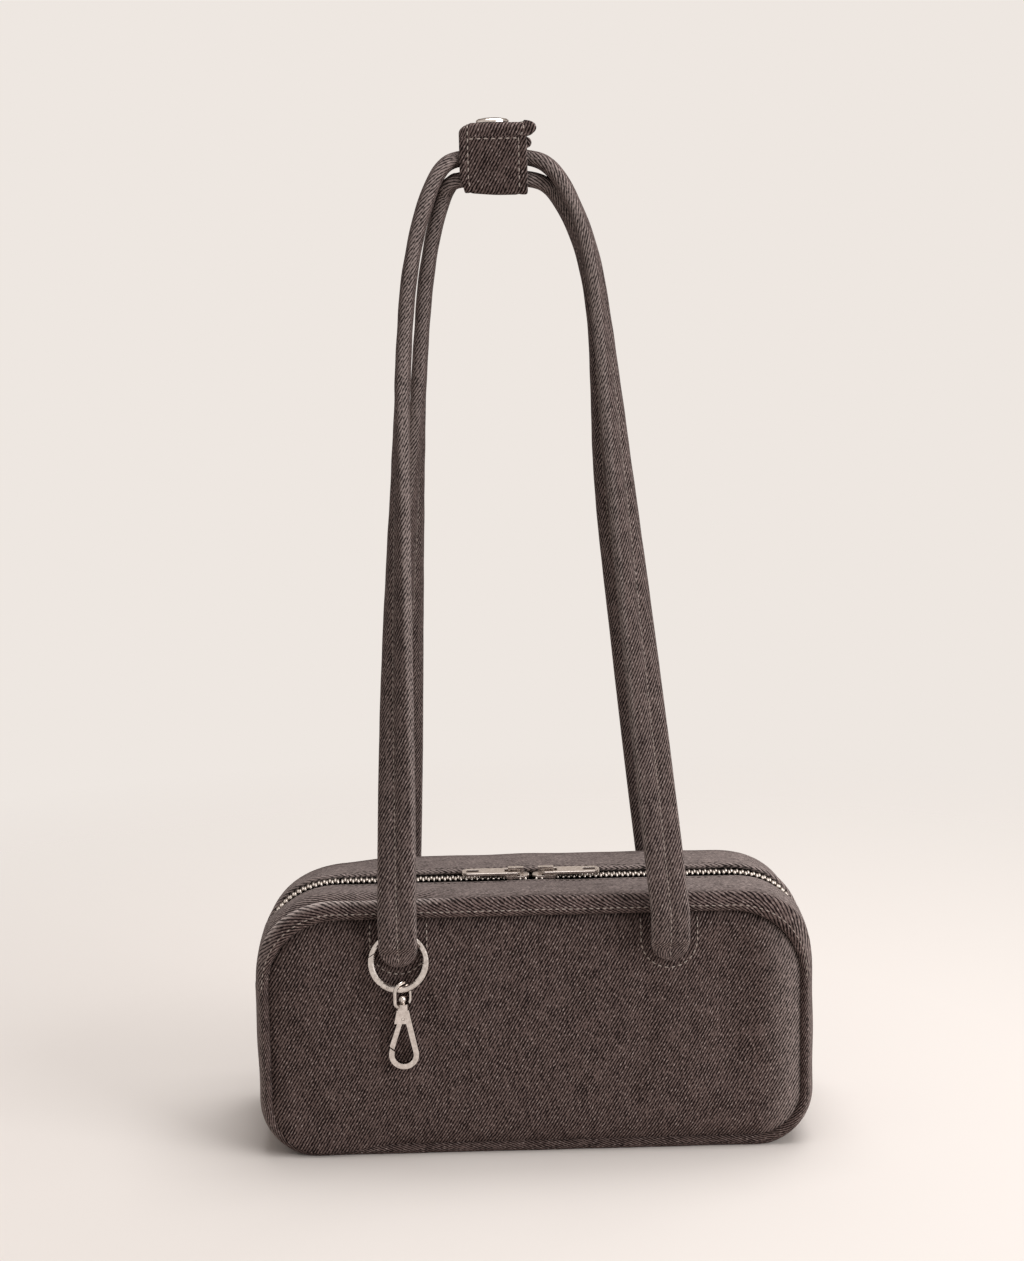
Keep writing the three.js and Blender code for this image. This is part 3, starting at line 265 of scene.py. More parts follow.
def add_node(tree, kind, output, inputs=None, **settings):
    """New node with its settings and links. inputs gives a value, or another node's output, for sockets by
    name or number, and the output that is asked for comes back."""
    node = tree.nodes.new(kind)
    for name, value in settings.items():
        setattr(node, name, value)
    for socket, value in (inputs or {}).items():
        if isinstance(value, bpy.types.NodeSocket):
            tree.links.new(value, node.inputs[socket])
        else:
            node.inputs[socket].default_value = value
    return node.outputs[output]


def new_material(name):
    """Material with an empty Principled surface: its node tree and the shader node."""
    material = bpy.data.materials.new(name)
    material.use_nodes = True
    return material, material.node_tree, material.node_tree.nodes["Principled BSDF"]


def floor_disc():
    """Flat disc: rings of points from the middle out to the rim."""
    radius = np.linspace(0, FLOOR_RADIUS, 8)[:, None]
    turn = np.linspace(0, 2 * pi, 65)[None, :]
    return patch(spread(radius * np.cos(turn), radius * np.sin(turn), 0 * radius))


# thick uncoated paper: quite matt, with no shine
paper, paper_tree, paper_shader = new_material("matt_floor_paper")
paper_shader.inputs["Base Color"].default_value = linear(FLOOR)
paper_shader.inputs["Roughness"].default_value = 1.0
paper_shader.inputs["Specular IOR Level"].default_value = 0.0
place = add_node(paper_tree, "ShaderNodeTexCoord", "Object")
away = add_node(paper_tree, "ShaderNodeVectorMath", "Value", {0: place}, operation="LENGTH")
fade = {"Value": away, "From Min": FADE_FROM * MM, "From Max": FADE_TO * MM}
faded = add_node(paper_tree, "ShaderNodeMapRange", "Result", fade)
clear = add_node(paper_tree, "ShaderNodeBsdfTransparent", "BSDF")
layers = {0: faded, 1: paper_shader.outputs["BSDF"], 2: clear}
both = add_node(paper_tree, "ShaderNodeMixShader", "Shader", layers)
paper_tree.links.new(both, paper_tree.nodes["Material Output"].inputs["Surface"])
grid_piece("floor", paper, floor_disc())

world = bpy.data.worlds.new("studio")
bpy.context.scene.world = world
world.use_nodes = True
room = world.node_tree
rays = add_node(room, "ShaderNodeLightPath", "Is Camera Ray").node.outputs
bounced = {0: rays["Is Glossy Ray"], 1: rays["Is Transmission Ray"]}
mirrored = add_node(room, "ShaderNodeMath", 0, bounced, operation="MAXIMUM")
seen = {0: rays["Is Camera Ray"], 1: mirrored}
shown = add_node(room, "ShaderNodeMath", 0, seen, operation="MAXIMUM")
levels = {"Value": shown, "To Min": ROOM_LIGHT, "To Max": 1.0}
strength = add_node(room, "ShaderNodeMapRange", "Result", levels)
room.nodes["Background"].inputs["Color"].default_value = linear(BACKDROP)
room.links.new(strength, room.nodes["Background"].inputs["Strength"])
bpy.context.scene.view_settings.view_transform = "Standard"

for name, (place, width, watts) in LAMPS.items():
    lamp = bpy.data.objects.new(name, bpy.data.lights.new(name, "AREA"))
    lamp.data.size = width * MM
    lamp.data.energy = watts
    lamp.location = np.array(place) * MM
    aim = Vector(LAMP_AIM) * MM - lamp.location
    lamp.rotation_euler = aim.to_track_quat("-Z", "Y").to_euler()
    bpy.context.scene.collection.objects.link(lamp)
print("lamps:", len(LAMPS))

# %% [markdown]
# ## Cloth finishes
# The bag is sewn from washed black denim: a 3/1 twill whose dark warp lies over a paler weft, so steep
# diagonal ribs run up to the right, broken by short pale flecks. The pattern reads the distances kept
# with each grid, in millimetres, so it turns with the cloth. The eye sees a matt, slightly dusty
# brown-black, paler where rubbed. Painted light makes it paler too: painted top and side light on the
# gusset, a painted highlight on its front ridge, and painted light towards each panel's right edge.

# %% Denim
RIB_PITCH = 1.3  # a little coarser than the real ribs, so that they show
RIB_LEAN = 60  # degrees above the weft
FLECK_WIDTH = 0.6
FLECK_LENGTH = 1.5
SLUB_WIDTH = 1.7  # thick and thin places in the yarn
SLUB_LENGTH = 6.0
MOTTLE_SIZE = 9.0  # patches left by the wash
ONE_WAVE = pi / 10  # scale at which a wave texture repeats once in each unit
RIB_SHARE = 0.8  # parts of the tone
SLUB_SHARE = 0.8
WASH_SHARE = 0.6


def denim_cloth(name, dark, pale, bright, rubbed):
    """Washed twill: ribs from a wave across the lean, broken by flecks of noise drawn out along the ribs.
    The tone is the sum of ribs, flecks, slubs and wash, and pale tips show where a fleck lies on a rib."""
    material, tree, shader = new_material(name)
    over = add_node(tree, "ShaderNodeUVMap", "UV", uv_map="cloth")
    across_ribs = (0, 0, radians(90 - RIB_LEAN))
    lean = {"Vector": over, "Rotation": across_ribs, "Scale": (1 / RIB_PITCH, 1 / RIB_PITCH, 1)}
    ribs = add_node(tree, "ShaderNodeMapping", "Vector", lean)
    waves = {"Vector": ribs, "Scale": ONE_WAVE, "Distortion": 0.9, "Detail": 2.0, "Detail Scale": 1.5}
    wave = add_node(tree, "ShaderNodeTexWave", "Fac", waves, bands_direction="X")
    drawn = {"Vector": ribs, "Scale": (RIB_PITCH / FLECK_WIDTH, RIB_PITCH / FLECK_LENGTH, 1)}
    fibres = {"Vector": add_node(tree, "ShaderNodeMapping", "Vector", drawn), "Scale": 1.0, "Detail": 1.5}
    flecks = add_node(tree, "ShaderNodeTexNoise", "Fac", fibres)
    yarn = {"Vector": over, "Scale": (1 / SLUB_WIDTH, 1 / SLUB_LENGTH, 1)}
    uneven = {"Vector": add_node(tree, "ShaderNodeMapping", "Vector", yarn), "Scale": 1.0, "Detail": 2.0}
    slubs = add_node(tree, "ShaderNodeTexNoise", "Fac", uneven)
    patches = {"Vector": over, "Scale": 1 / MOTTLE_SIZE, "Detail": 3.0, "Roughness": 0.6}
    wash = add_node(tree, "ShaderNodeTexNoise", "Fac", patches)

    broken = {"Value": flecks, "From Min": 0.3, "From Max": 0.7, "To Min": -0.3, "To Max": 0.3}
    summed = {0: wave, 1: RIB_SHARE, 2: add_node(tree, "ShaderNodeMapRange", "Result", broken)}
    thread_tone = add_node(tree, "ShaderNodeMath", 0, summed, operation="MULTIPLY_ADD")
    slubbed = {0: slubs, 1: SLUB_SHARE, 2: thread_tone}
    yarn_tone = add_node(tree, "ShaderNodeMath", 0, slubbed, operation="MULTIPLY_ADD")
    washed = {0: wash, 1: WASH_SHARE, 2: yarn_tone}
    tone = add_node(tree, "ShaderNodeMath", 0, washed, operation="MULTIPLY_ADD")
    spans = ((tone, 0.82, 1.42), (flecks, 0.58, 0.74), (wave, 0.3, 0.9))
    shares = [{"Value": value, "From Min": low, "From Max": high} for value, low, high in spans]
    paler, tip, top = (add_node(tree, "ShaderNodeMapRange", "Result", share) for share in shares)
    yarns = {0: paler, 6: linear(dark), 7: linear(pale)}
    base = add_node(tree, "ShaderNodeMix", 2, yarns, data_type="RGBA")
    tips = add_node(tree, "ShaderNodeMath", 0, {0: tip, 1: top}, operation="MULTIPLY")
    tipped = {0: tips, 6: base, 7: linear(bright)}
    threads = add_node(tree, "ShaderNodeMix", 2, tipped, data_type="RGBA")

    # paler by the attribute: real wear, and painted light on the gusset and towards the panels' right edges
    wear_and_painted_light = add_node(tree, "ShaderNodeAttribute", "Fac", attribute_name="wear_and_painted_light")
    kept = {"Value": tone, "From Min": 0.7, "From Max": 1.4, "To Min": 0.1, "To Max": 1.0}
    wear_and_light_mix = {0: wear_and_painted_light, 1: add_node(tree, "ShaderNodeMapRange", "Result", kept)}
    worn_and_painted_light = add_node(tree, "ShaderNodeMath", 0, wear_and_light_mix, operation="MULTIPLY")
    layers = {0: worn_and_painted_light, 6: threads, 7: linear(rubbed)}
    colour = add_node(tree, "ShaderNodeMix", 2, layers, data_type="RGBA")
    tree.links.new(colour, shader.inputs["Base Color"])
    raised = {"Height": thread_tone, "Strength": 0.5, "Distance": 0.25 * MM}
    tree.links.new(add_node(tree, "ShaderNodeBump", "Normal", raised), shader.inputs["Normal"])
    shader.inputs["Roughness"].default_value = 0.95
    shader.inputs["Specular IOR Level"].default_value = 0.1
    return material


# the last colour is the paler one, used for wear and for painted light
denim = denim_cloth("washed_black_denim", "#130b0b", "#6f5e5a", "#b5a5a0", "#d6c7c2")
print("denim ribs:", RIB_PITCH, "mm")

# %% [markdown]
# The other cloths are plainer: a woven zip tape, a plain-woven cotton lining, and felt inside the panels.
# One function draws a plain weave from two crossed waves, and each cloth gives it a thread size and its
# colours. Their finishes end alike, so another function mixes two colours by a tone and raises the
# surface.

# %% Tape, lining, felt, thread and board
WOVEN_TONE = (0.3, 1.3)
NOISE_TONE = (0.3, 0.7)


def two_toned(tree, shader, tone, span, dark, pale, height, strength, depth):
    """End of a finish: the tone's share of its span mixes dark and pale, and the height raises the surface
    by a depth in millimetres. The share comes back."""
    mixed = {"Value": tone, "From Min": span[0], "From Max": span[1]}
    share = add_node(tree, "ShaderNodeMapRange", "Result", mixed)
    tones = {0: share, 6: linear(dark), 7: linear(pale)}
    tree.links.new(add_node(tree, "ShaderNodeMix", 2, tones, data_type="RGBA"), shader.inputs["Base Color"])
    raised = {"Height": height, "Strength": strength, "Distance": depth * MM}
    tree.links.new(add_node(tree, "ShaderNodeBump", "Normal", raised), shader.inputs["Normal"])
    return share


def plain_weave(name, dark, pale, thread, roughness):
    """Plain weave: two waves at right angles, one across and one along, that take turns to lie on top."""
    material, tree, shader = new_material(name)
    over = add_node(tree, "ShaderNodeUVMap", "UV", uv_map="cloth")
    size = {"Vector": over, "Scale": (1 / thread, 1 / thread, 1)}
    threads = add_node(tree, "ShaderNodeMapping", "Vector", size)
    bands = {"Vector": threads, "Scale": ONE_WAVE, "Distortion": 0.6}
    waves = [add_node(tree, "ShaderNodeTexWave", "Fac", bands, bands_direction=axis) for axis in "XY"]
    crossed = add_node(tree, "ShaderNodeMath", 0, {0: waves[0], 1: waves[1]}, operation="MULTIPLY")
    slub = add_node(tree, "ShaderNodeTexNoise", "Fac", {"Vector": threads, "Scale": 0.35, "Detail": 3.0})
    tone = add_node(tree, "ShaderNodeMath", 0, {0: crossed, 1: slub}, operation="ADD")
    two_toned(tree, shader, tone, WOVEN_TONE, dark, pale, crossed, strength=0.4, depth=0.1)
    shader.inputs["Roughness"].default_value = roughness
    shader.inputs["Specular IOR Level"].default_value = 0.2
    return material


def fibre(name, dark, pale, size, roughness):
    """Matted fibres: layered noise in Object coordinates, for felt, thread and pressed board."""
    material, tree, shader = new_material(name)
    place = add_node(tree, "ShaderNodeTexCoord", "Object")
    matted = {"Vector": place, "Scale": 1 / (size * MM), "Detail": 5.0, "Roughness": 0.7}
    grain = add_node(tree, "ShaderNodeTexNoise", "Fac", matted)
    two_toned(tree, shader, grain, NOISE_TONE, dark, pale, grain, strength=0.3, depth=0.1)
    shader.inputs["Roughness"].default_value = roughness
    shader.inputs["Specular IOR Level"].default_value = 0.2
    return material


# tightly woven polyester: dull, with a fine check
tape_cloth = plain_weave("woven_zip_tape", "#3a3331", "#645a56", thread=0.8, roughness=0.9)
# spun cotton: flat and soft, with no shine
lining_cloth = plain_weave("cotton_lining", "#2a2524", "#4f4745", thread=0.9, roughness=0.9)
# needled fibres: cloudy and quite matt
felt = fibre("needled_felt", "#3a3432", "#5a514d", size=1.2, roughness=1.0)
# spun thread: pale and fuzzy, so that stitches show as soft dashes
thread = fibre("spun_polyester_thread", "#94877f", "#bfb3ab", size=0.5, roughness=0.8)
# the same thread painted dark as painted shade, for rows in the zip slot and low on the base: its rows
# hardly show
thread_with_painted_shade = fibre("polyester_thread_with_painted_shade", "#2c2422", "#4a3f3c", size=0.5, roughness=0.8)
# pressed fibres: mottled brown with the faintest gloss
board = fibre("pressed_fibre_board", "#5e5146", "#7d6e60", size=0.8, roughness=0.85)
print("woven:", tape_cloth.name, lining_cloth.name)
print("matted:", felt.name, thread.name, thread_with_painted_shade.name, board.name)

# %% [markdown]
# ## Metal finishes
# The ring and hook are zinc castings plated in satin nickel: a warm pale metal with soft, wide highlights
# and faint tumbling marks. The pulls and sliders have the same plating, rubbed duller by fingers, and the
# zip teeth have it on stamped brass.

# %% Plated metal


def plated(name, dark, pale, edge, rough_low, rough_high, mark_size):
    """Plated metal: noise in Object coordinates moves the colour and the roughness a little. The edge colour
    tints what it mirrors at a glancing angle."""
    material, tree, shader = new_material(name)
    place = add_node(tree, "ShaderNodeTexCoord", "Object")
    tumbled = {"Vector": place, "Scale": 1 / (mark_size * MM), "Detail": 4.0}
    marks = add_node(tree, "ShaderNodeTexNoise", "Fac", tumbled)
    share = two_toned(tree, shader, marks, NOISE_TONE, dark, pale, marks, strength=0.05, depth=0.05)
    gloss = {"Value": share, "To Min": rough_low, "To Max": rough_high}
    tree.links.new(add_node(tree, "ShaderNodeMapRange", "Result", gloss), shader.inputs["Roughness"])
    shader.inputs["Metallic"].default_value = 1.0
    shader.inputs["Specular Tint"].default_value = linear(edge)
    return material


# tumbled after casting: wide, soft highlights and dark edges
satin = {"rough_low": 0.1, "rough_high": 0.22, "mark_size": 1.5}
nickel = plated("satin_nickel_plate", "#bab1ab", "#dfd7d1", "#6e6661", **satin)
# rubbed by fingers: it mirrors less sharply
rubbed = {"rough_low": 0.18, "rough_high": 0.32, "mark_size": 1.5}
pull_metal = plated("rubbed_nickel_plate", "#a89f99", "#cfc6c0", "#efe8e2", **rubbed)
# stamped before plating: small dull marks
stamped = {"rough_low": 0.2, "rough_high": 0.35, "mark_size": 0.8}
teeth_metal = plated("nickel_plated_brass", "#b9b1aa", "#dad2cb", "#efe8e2", **stamped)
print("metals:", nickel.name, pull_metal.name, teeth_metal.name)

# %% [markdown]
# ## The seam outline
# Both panels are rounded rectangles, and everything on the body follows their seam. Distance is counted
# along the seam from the top middle, positive to the right, so that one formula gives the straight runs
# and the four corners.

# %% Seam outline
HALF_WIDTH = 125.0
HALF_DEPTH = 45.0
BASE_LIFT = 5.0
TOP_Z = 115.5
MID_Z = (BASE_LIFT + TOP_Z) / 2
TOP_RADIUS = 33.0
BASE_RADIUS = 22.0
CORNER_X = HALF_WIDTH - TOP_RADIUS
SIDE_RUN = TOP_Z - BASE_LIFT - TOP_RADIUS - BASE_RADIUS  # straight side between the corners
SIDE_FROM = CORNER_X + TOP_RADIUS * pi / 2
BASE_TURN = SIDE_FROM + SIDE_RUN
BASE_FROM = BASE_TURN + BASE_RADIUS * pi / 2
HALF_LOOP = BASE_FROM + HALF_WIDTH - BASE_RADIUS
SEAM_HUB = 0.55  # share of a seam point's x where its ring ends, in the panel's middle
SIDES = (-1, 1)
FACES = (("front", -1), ("rear", 1))
HANDS = (("left", -1), ("right", 1))


def seam(s):
    """Point and outward direction of the seam at distance s: straight runs and two quarter turns a side."""
    s = np.where(s > HALF_LOOP, s - 2 * HALF_LOOP, s)
    side = np.where(s < 0, -1.0, 1.0)
    a = np.abs(s)
    top = np.clip((a - CORNER_X) / TOP_RADIUS, 0, pi / 2)
    base = np.clip((a - BASE_TURN) / BASE_RADIUS, 0, pi / 2)
    x = np.minimum(a, CORNER_X) + TOP_RADIUS * np.sin(top) - BASE_RADIUS * (1 - np.cos(base))
    x = x - np.clip(a - BASE_FROM, 0, None)
    z = TOP_Z - TOP_RADIUS * (1 - np.cos(top)) - np.clip(a - SIDE_FROM, 0, SIDE_RUN)
    z = z - BASE_RADIUS * np.sin(base)
    return side * x, z, side * np.sin(top + base), np.cos(top + base)


print("seam length:", round(2 * HALF_LOOP, 1), "mm")

# %% [markdown]
# Outside the seam, the padded gusset rolls outwards. Its section is a superellipse, and what use has done
# to it is added as smooth bumps: a stiff ridge along the front, a sunk top behind it on the left, dropped
# rear corners and small waves. Each is a function of its own, so that one can change without the rest.

# %% Gusset roll
SIDE_BULGE = 7.4
TOP_BULGE = 9.2
BASE_BULGE = 7.6
LEFT_CORNER_BULGE = 1.4
RIGHT_CORNER_BULGE = 3.2
ROLL_POWER = 4.0
ROLL_OVERHANG = 1.4  # the padded roll hangs a little over the panel
ROLL_HALF = HALF_DEPTH + ROLL_OVERHANG
RIDGE_HEIGHT = 2.2  # stiff fold along the front edge of the top
RIDGE_AT = -41.4
RIDGE_WIDTH = 2.0
RIDGE_FACING = (0.1, 0.8)  # the ridge fades in as the roll turns from sideways to upwards
LEFT_VALLEY = 4.0  # behind the ridge on the left, the top has sunk
VALLEY_AT = -31.5
VALLEY_WIDTH = 6.5
VALLEY_FADES = (-66.0, -28.0)
TOP_FACING = (0.2, 0.9)  # other marks of the top fade in between these
REAR_DROP = {-1: 4.0, 1: 2.2}  # the rear corners have sunk, most at these places along the seam
REAR_DROP_AT = {-1: 103.0, 1: 125.0}
REAR_DROP_WIDTH = {-1: 22.0, 1: 30.0}
REAR_DROP_FADES = (-5.0, 30.0)  # from the middle plane to the rear
EASE_HEIGHT = 0.16  # slight unevenness of the sewn roll
EASE_WAVES = ((9.0, 1.0, 0.0), (5.3, 0.7, 0.6), (17.0, 0.5, 0.0))  # length, share and shift of each wave
SIDE_TUCK = 1.2  # the roll lies back from the panel at the sides and the base
BASE_TUCK = 2.2
TUCK_POWER = 8  # the tuck stays close to the seam
CLOTH = 2.5


def bulge(nx, nz):
    """How far the gusset stands out of the seam: a value each for side, top and base, and fuller corners."""
    straight = SIDE_BULGE + (np.where(nz > 0, TOP_BULGE, BASE_BULGE) - SIDE_BULGE) * nz ** 2
    corner = np.where(nx < 0, LEFT_CORNER_BULGE, RIGHT_CORNER_BULGE)
    return straight + np.where(nz > 0, corner * (2 * nx * nz) ** 2, 0)


def rolled(direction):
    """Superellipse across the gusset: distance from the middle plane and share of the bulge, seen from the
    centre in directions from 0 at the seam to a right angle at the top."""
    c, s = np.cos(direction), np.sin(direction)
    reach = (c ** ROLL_POWER + s ** ROLL_POWER) ** (-1 / ROLL_POWER)
    return ROLL_HALF * reach * c, reach * s


def roll_share(y):
    """Share of the bulge at a distance from the middle plane."""
    return np.clip(1 - np.abs(y / ROLL_HALF) ** ROLL_POWER, 0, 1) ** (1 / ROLL_POWER)


def ridge(y, nz):
    """Share of the front ridge: a bell across the gusset that fades out where the seam turns down."""
    return bell(y, RIDGE_AT, RIDGE_WIDTH) * smooth(*RIDGE_FACING, nz)


def valley(x, y, nz):
    """Share of the sunk top: a bell behind the ridge that fades out to the right and down the side."""
    return bell(y, VALLEY_AT, VALLEY_WIDTH) * (1 - smooth(*VALLEY_FADES, x)) * smooth(*TOP_FACING, nz)


def rear_drop(s, y):
    """How far the rear has sunk: a bell along the seam on each side, fading in from middle to rear."""
    bells = [REAR_DROP[side] * bell(side * s, REAR_DROP_AT[side], REAR_DROP_WIDTH[side]) for side in SIDES]
    return sum(bells) * smooth(*REAR_DROP_FADES, y)


def ease_in_cloth(s, y):
    """Slight unevenness of the sewn roll: a few long waves along the seam, shifted to each side."""
    waves = [share * np.cos(s / length + shift * np.sign(y)) for length, share, shift in EASE_WAVES]
    return EASE_HEIGHT * sum(waves)


def gusset(s, y, share, depth):
    """Gusset surface: the seam moved outwards by bulge * share + ridge - valley - depth, above the floor."""
    x, z, nx, nz = (v[:, None] for v in seam(s))
    raised = RIDGE_HEIGHT * ridge(y, nz) - LEFT_VALLEY * valley(x, y, nz)
    uneven = ease_in_cloth(s[:, None], y) - rear_drop(s[:, None], y)
    offset = (bulge(nx, nz) + uneven) * share + raised - depth
    height = np.maximum(z + nz * offset, np.maximum(depth, 0))
    tuck = SIDE_TUCK * nx ** 2 + BASE_TUCK * np.clip(-nz, 0, 1) ** 2
    across = y - np.sign(y) * tuck * np.abs(y / ROLL_HALF) ** TUCK_POWER
    return spread(x + nx * offset, across, height)


print("roll stands out:", bulge(np.array([0.0, 1.0, 0.0]), np.array([1.0, 0.0, -1.0])), "mm")

# %% [markdown]
# ## Front and rear panels
# Each panel is a padded face, crowned by its felt and held all round by the seam. Sculpting its soft
# unevenness by hand looks stiff, so a lattice of cloth is simulated instead: it is held at the seam and
# under the sewn strap ends, a little pressure blows it out, and its own weight lets it sag. Only the
# movement is kept, capped.

# %% Panel cloth, simulated
LATTICE_WIDE = 76
LATTICE_TALL = 34
SETTLE_FRAMES = 20
SETTLE_CAP = 1.2  # furthest that a point may move
HELD_FROM = 0.94  # share of the panel from which the seam holds the cloth
HELD_ASIDE = 5.0  # cloth held beside and below a strap end
HELD_BELOW = 6.0
PANEL_CROWN = 3.2  # clear of the hook when it swivels
STRAP_X = 63.2
STRAP_HALF = 9.0
STRAP_END_Z = 95.0


def panel_share(x, z):
    """0 in the middle of a panel and 1 at its seam, along whichever side is nearer."""
    sideways = (np.abs(x) / HALF_WIDTH - SEAM_HUB) / (1 - SEAM_HUB)
    return np.clip(np.maximum(sideways, np.abs(z - MID_Z) / (TOP_Z - MID_Z)), 0, 1)


def crown(share):
    """Height of the stuffed face over its seam: full in the middle, less the cube of the share."""
    return PANEL_CROWN * (1 - share ** 3)


def settled_panel():
    """Outward movement of the panel cloth on a lattice, from a cloth run of a few frames."""
    x, z = np.meshgrid(np.linspace(-HALF_WIDTH, HALF_WIDTH, LATTICE_WIDE),
                       np.linspace(BASE_LIFT, TOP_Z, LATTICE_TALL), indexing="ij")
    start = spread(x, -crown(panel_share(x, z)), z)
    piece = grid_piece("panel_cloth", felt, patch(start))
    mesh = piece.data
    if mesh.polygons[0].normal.y > 0:
        mesh.flip_normals()
    beside = np.abs(np.abs(x) - STRAP_X) < STRAP_HALF + HELD_ASIDE
    held = (panel_share(x, z) > HELD_FROM) | (beside & (z > STRAP_END_Z - HELD_BELOW))
    piece.vertex_groups.new(name="held").add(np.flatnonzero(held).tolist(), 1.0, "REPLACE")
    cloth = piece.modifiers.new("cloth", "CLOTH")
    cloth.settings.quality = 5
    cloth.settings.mass = 0.2
    cloth.settings.bending_stiffness = 2.0
    cloth.settings.vertex_group_mass = "held"
    cloth.settings.use_pressure = True
    cloth.settings.uniform_pressure_force = 4.0
    cloth.settings.shrink_min = -0.006
    cloth.settings.effector_weights.gravity = 0.2
    cloth.point_cache.frame_start = 1
    cloth.point_cache.frame_end = SETTLE_FRAMES
    for step in range(1, SETTLE_FRAMES + 1):
        bpy.context.scene.frame_set(step)
    ready = piece.evaluated_get(bpy.context.evaluated_depsgraph_get()).to_mesh()
    end = np.empty(len(ready.vertices) * 3)
    ready.vertices.foreach_get("co", end)
    bpy.context.scene.frame_set(1)
    bpy.data.objects.remove(piece)
    moved = start[..., 1] - end.reshape(start.shape)[..., 1] / MM
    print("panel cloth moved:", round(moved.min(), 2), "to", round(moved.max(), 2), "mm")
    return np.clip(moved, -SETTLE_CAP, SETTLE_CAP)


swell = settled_panel()

# %% [markdown]
# The panel itself is a grid of rings that shrink from the seam to a line in the middle. It turns in at
# the seam like the edge of a cushion, small puckers follow the stitches, and the settled movement is read
# from the lattice.

# %% Panels
EDGE_TURN = 2.6  # how far the face turns in at the seam
EDGE_FROM = 0.86  # share of the panel where it starts to turn
SEAM_ZONE = (0.8, 1.0)  # share of the panel where puckers start and the settled movement fades out
PUCKER_LENGTH = 7.5
PUCKER_HEIGHT = 0.12
PUCKER_DRIFT = 2.0  # the puckers crowd and spread a little
DRIFT_LENGTH = 23.0
RING_CROWDING = 1.7  # rings lie closer together towards the seam
EDGE_CLOTH = 0.6  # cloth left at the seam
LEFT_SAG = 3.0  # the front panel hangs over the roll at its lower left corner
SAG_X = (-62.0, -98.0)
SAG_Z = 34.0
SAG_CLEAR = 0.8  # left under the sagging corner
DENT_DEPTH = 3.6  # the stuffing gives way beside the right strap
DENT_X = 91.0
DENT_WIDTH = 13.0
DENT_Z = (22.0, 50.0, 96.0, 112.0)  # heights between which the dent fades in, then out
EDGE_PAINTED_LIGHT = 0.26  # painted light: the cloth is painted paler towards its right edge, where light from the right falls
PAINTED_LIGHT_X = (102.0, 125.0)
PAINTED_LIGHT_ZONE = (0.4, 0.9)  # shares of the panel between which it fades in


def read_lattice(field, x, z):
    """Value of a lattice between its points: the four neighbours weighted by nearness."""
    last_i, last_j = LATTICE_WIDE - 1, LATTICE_TALL - 1
    within = 0.001  # keeps the last cell's far neighbour inside the lattice
    i = np.clip((x / HALF_WIDTH + 1) / 2 * last_i, 0, last_i - within)
    j = np.clip((z - BASE_LIFT) / (TOP_Z - BASE_LIFT) * last_j, 0, last_j - within)
    i0, j0 = i.astype(int), j.astype(int)
    p, q = i - i0, j - j0
    low = field[i0, j0] * (1 - p) + field[i0 + 1, j0] * p
    high = field[i0, j0 + 1] * (1 - p) + field[i0 + 1, j0 + 1] * p
    return low * (1 - q) + high * q


def padded_height(share, x, z):
    """Distance of a panel's face from the middle plane: crown + settled movement - turned edge - dent."""
    tall = smooth(*DENT_Z[:2], z) * (1 - smooth(*DENT_Z[2:], z))
    dent = DENT_DEPTH * bell(x, DENT_X, DENT_WIDTH) * tall
    edge = EDGE_TURN * np.clip((share - EDGE_FROM) / (1 - EDGE_FROM), 0, 1) ** 2
    settled = read_lattice(swell, x, z) * (1 - smooth(*SEAM_ZONE, share))
    return HALF_DEPTH + crown(share) + settled - edge - dent


def panel_shell(face):
    """Padded panel: rings from the middle line to the seam, puckers, a turned-in edge and a flat back."""
    s = np.linspace(-HALF_LOOP, HALF_LOOP, 337)
    x, z, nx, nz = seam(s)
    share = (1 - (1 - np.linspace(0, 1, 44)) ** RING_CROWDING)[:, None]
    px = SEAM_HUB * x + (1 - SEAM_HUB) * x * share
    pz = MID_Z + (z - MID_Z) * share
    drift = PUCKER_DRIFT * np.sin(s / DRIFT_LENGTH)
    pucker = np.sin(2 * pi * s / PUCKER_LENGTH + drift) * smooth(*SEAM_ZONE, share)
    height = padded_height(share, px * -face, pz) + PUCKER_HEIGHT * pucker
    if face < 0:
        sag = smooth(*SAG_X, px) * (1 - smooth(BASE_LIFT, SAG_Z, pz))
        pz = np.maximum(pz - LEFT_SAG * sag, SAG_CLEAR)
        height = height + EDGE_TURN * sag * smooth(EDGE_FROM, 1.0, share)
    outer = spread(px, face * height, pz)
    inner = spread(px, face * np.minimum(HALF_DEPTH - CLOTH, height - EDGE_CLOTH), pz)
    # painted light: the cloth is painted paler towards its right edge, where light from the right falls
    rubbed = EDGE_PAINTED_LIGHT * smooth(*PAINTED_LIGHT_X, -face * px) * smooth(*PAINTED_LIGHT_ZONE, share)
    return shell(outer, inner, spread(-face * px, pz), rubbed, rims=["last"])


for name, face in FACES:
    panel = grid_piece(f"{name}_panel_face", denim, *panel_shell(face))
    carry(panel, "bag", "denim", f"{name}_panel")

# %% [markdown]
# ## The gusset
# One strip of padded denim runs round the bag. It rolls out past the seam, so its cross-section is a
# superellipse: steep at the seam and nearly flat on top, rounded into the groove of the seam. Underneath,
# the floor presses it flat.

# %% Base and side gusset
SEAM_OUT = ((42.6, -0.2), (44.2, 0.2), (45.5, 1.1))  # groove at the seam: distance and height, outside
SEAM_IN = ((42.4, -0.3), (42.3, 0.7), (42.2, 1.6))
ROLL_FROM = 0.27  # direction in which the roll starts, past the groove
DIP_FROM = 30.0  # from here a zip flap slopes towards the zip
# wear and painted top light: how much paler the gusset's top is painted
TOP_WEAR_AND_PAINTED_LIGHT = 0.34
# wear and painted side light: how much paler the gusset's sides are painted
SIDE_WEAR_AND_PAINTED_LIGHT = 0.26
CREST_WEAR_AND_PAINTED_HIGHLIGHT = 0.12  # least wear and painted highlight of the ridge, which is full on the left
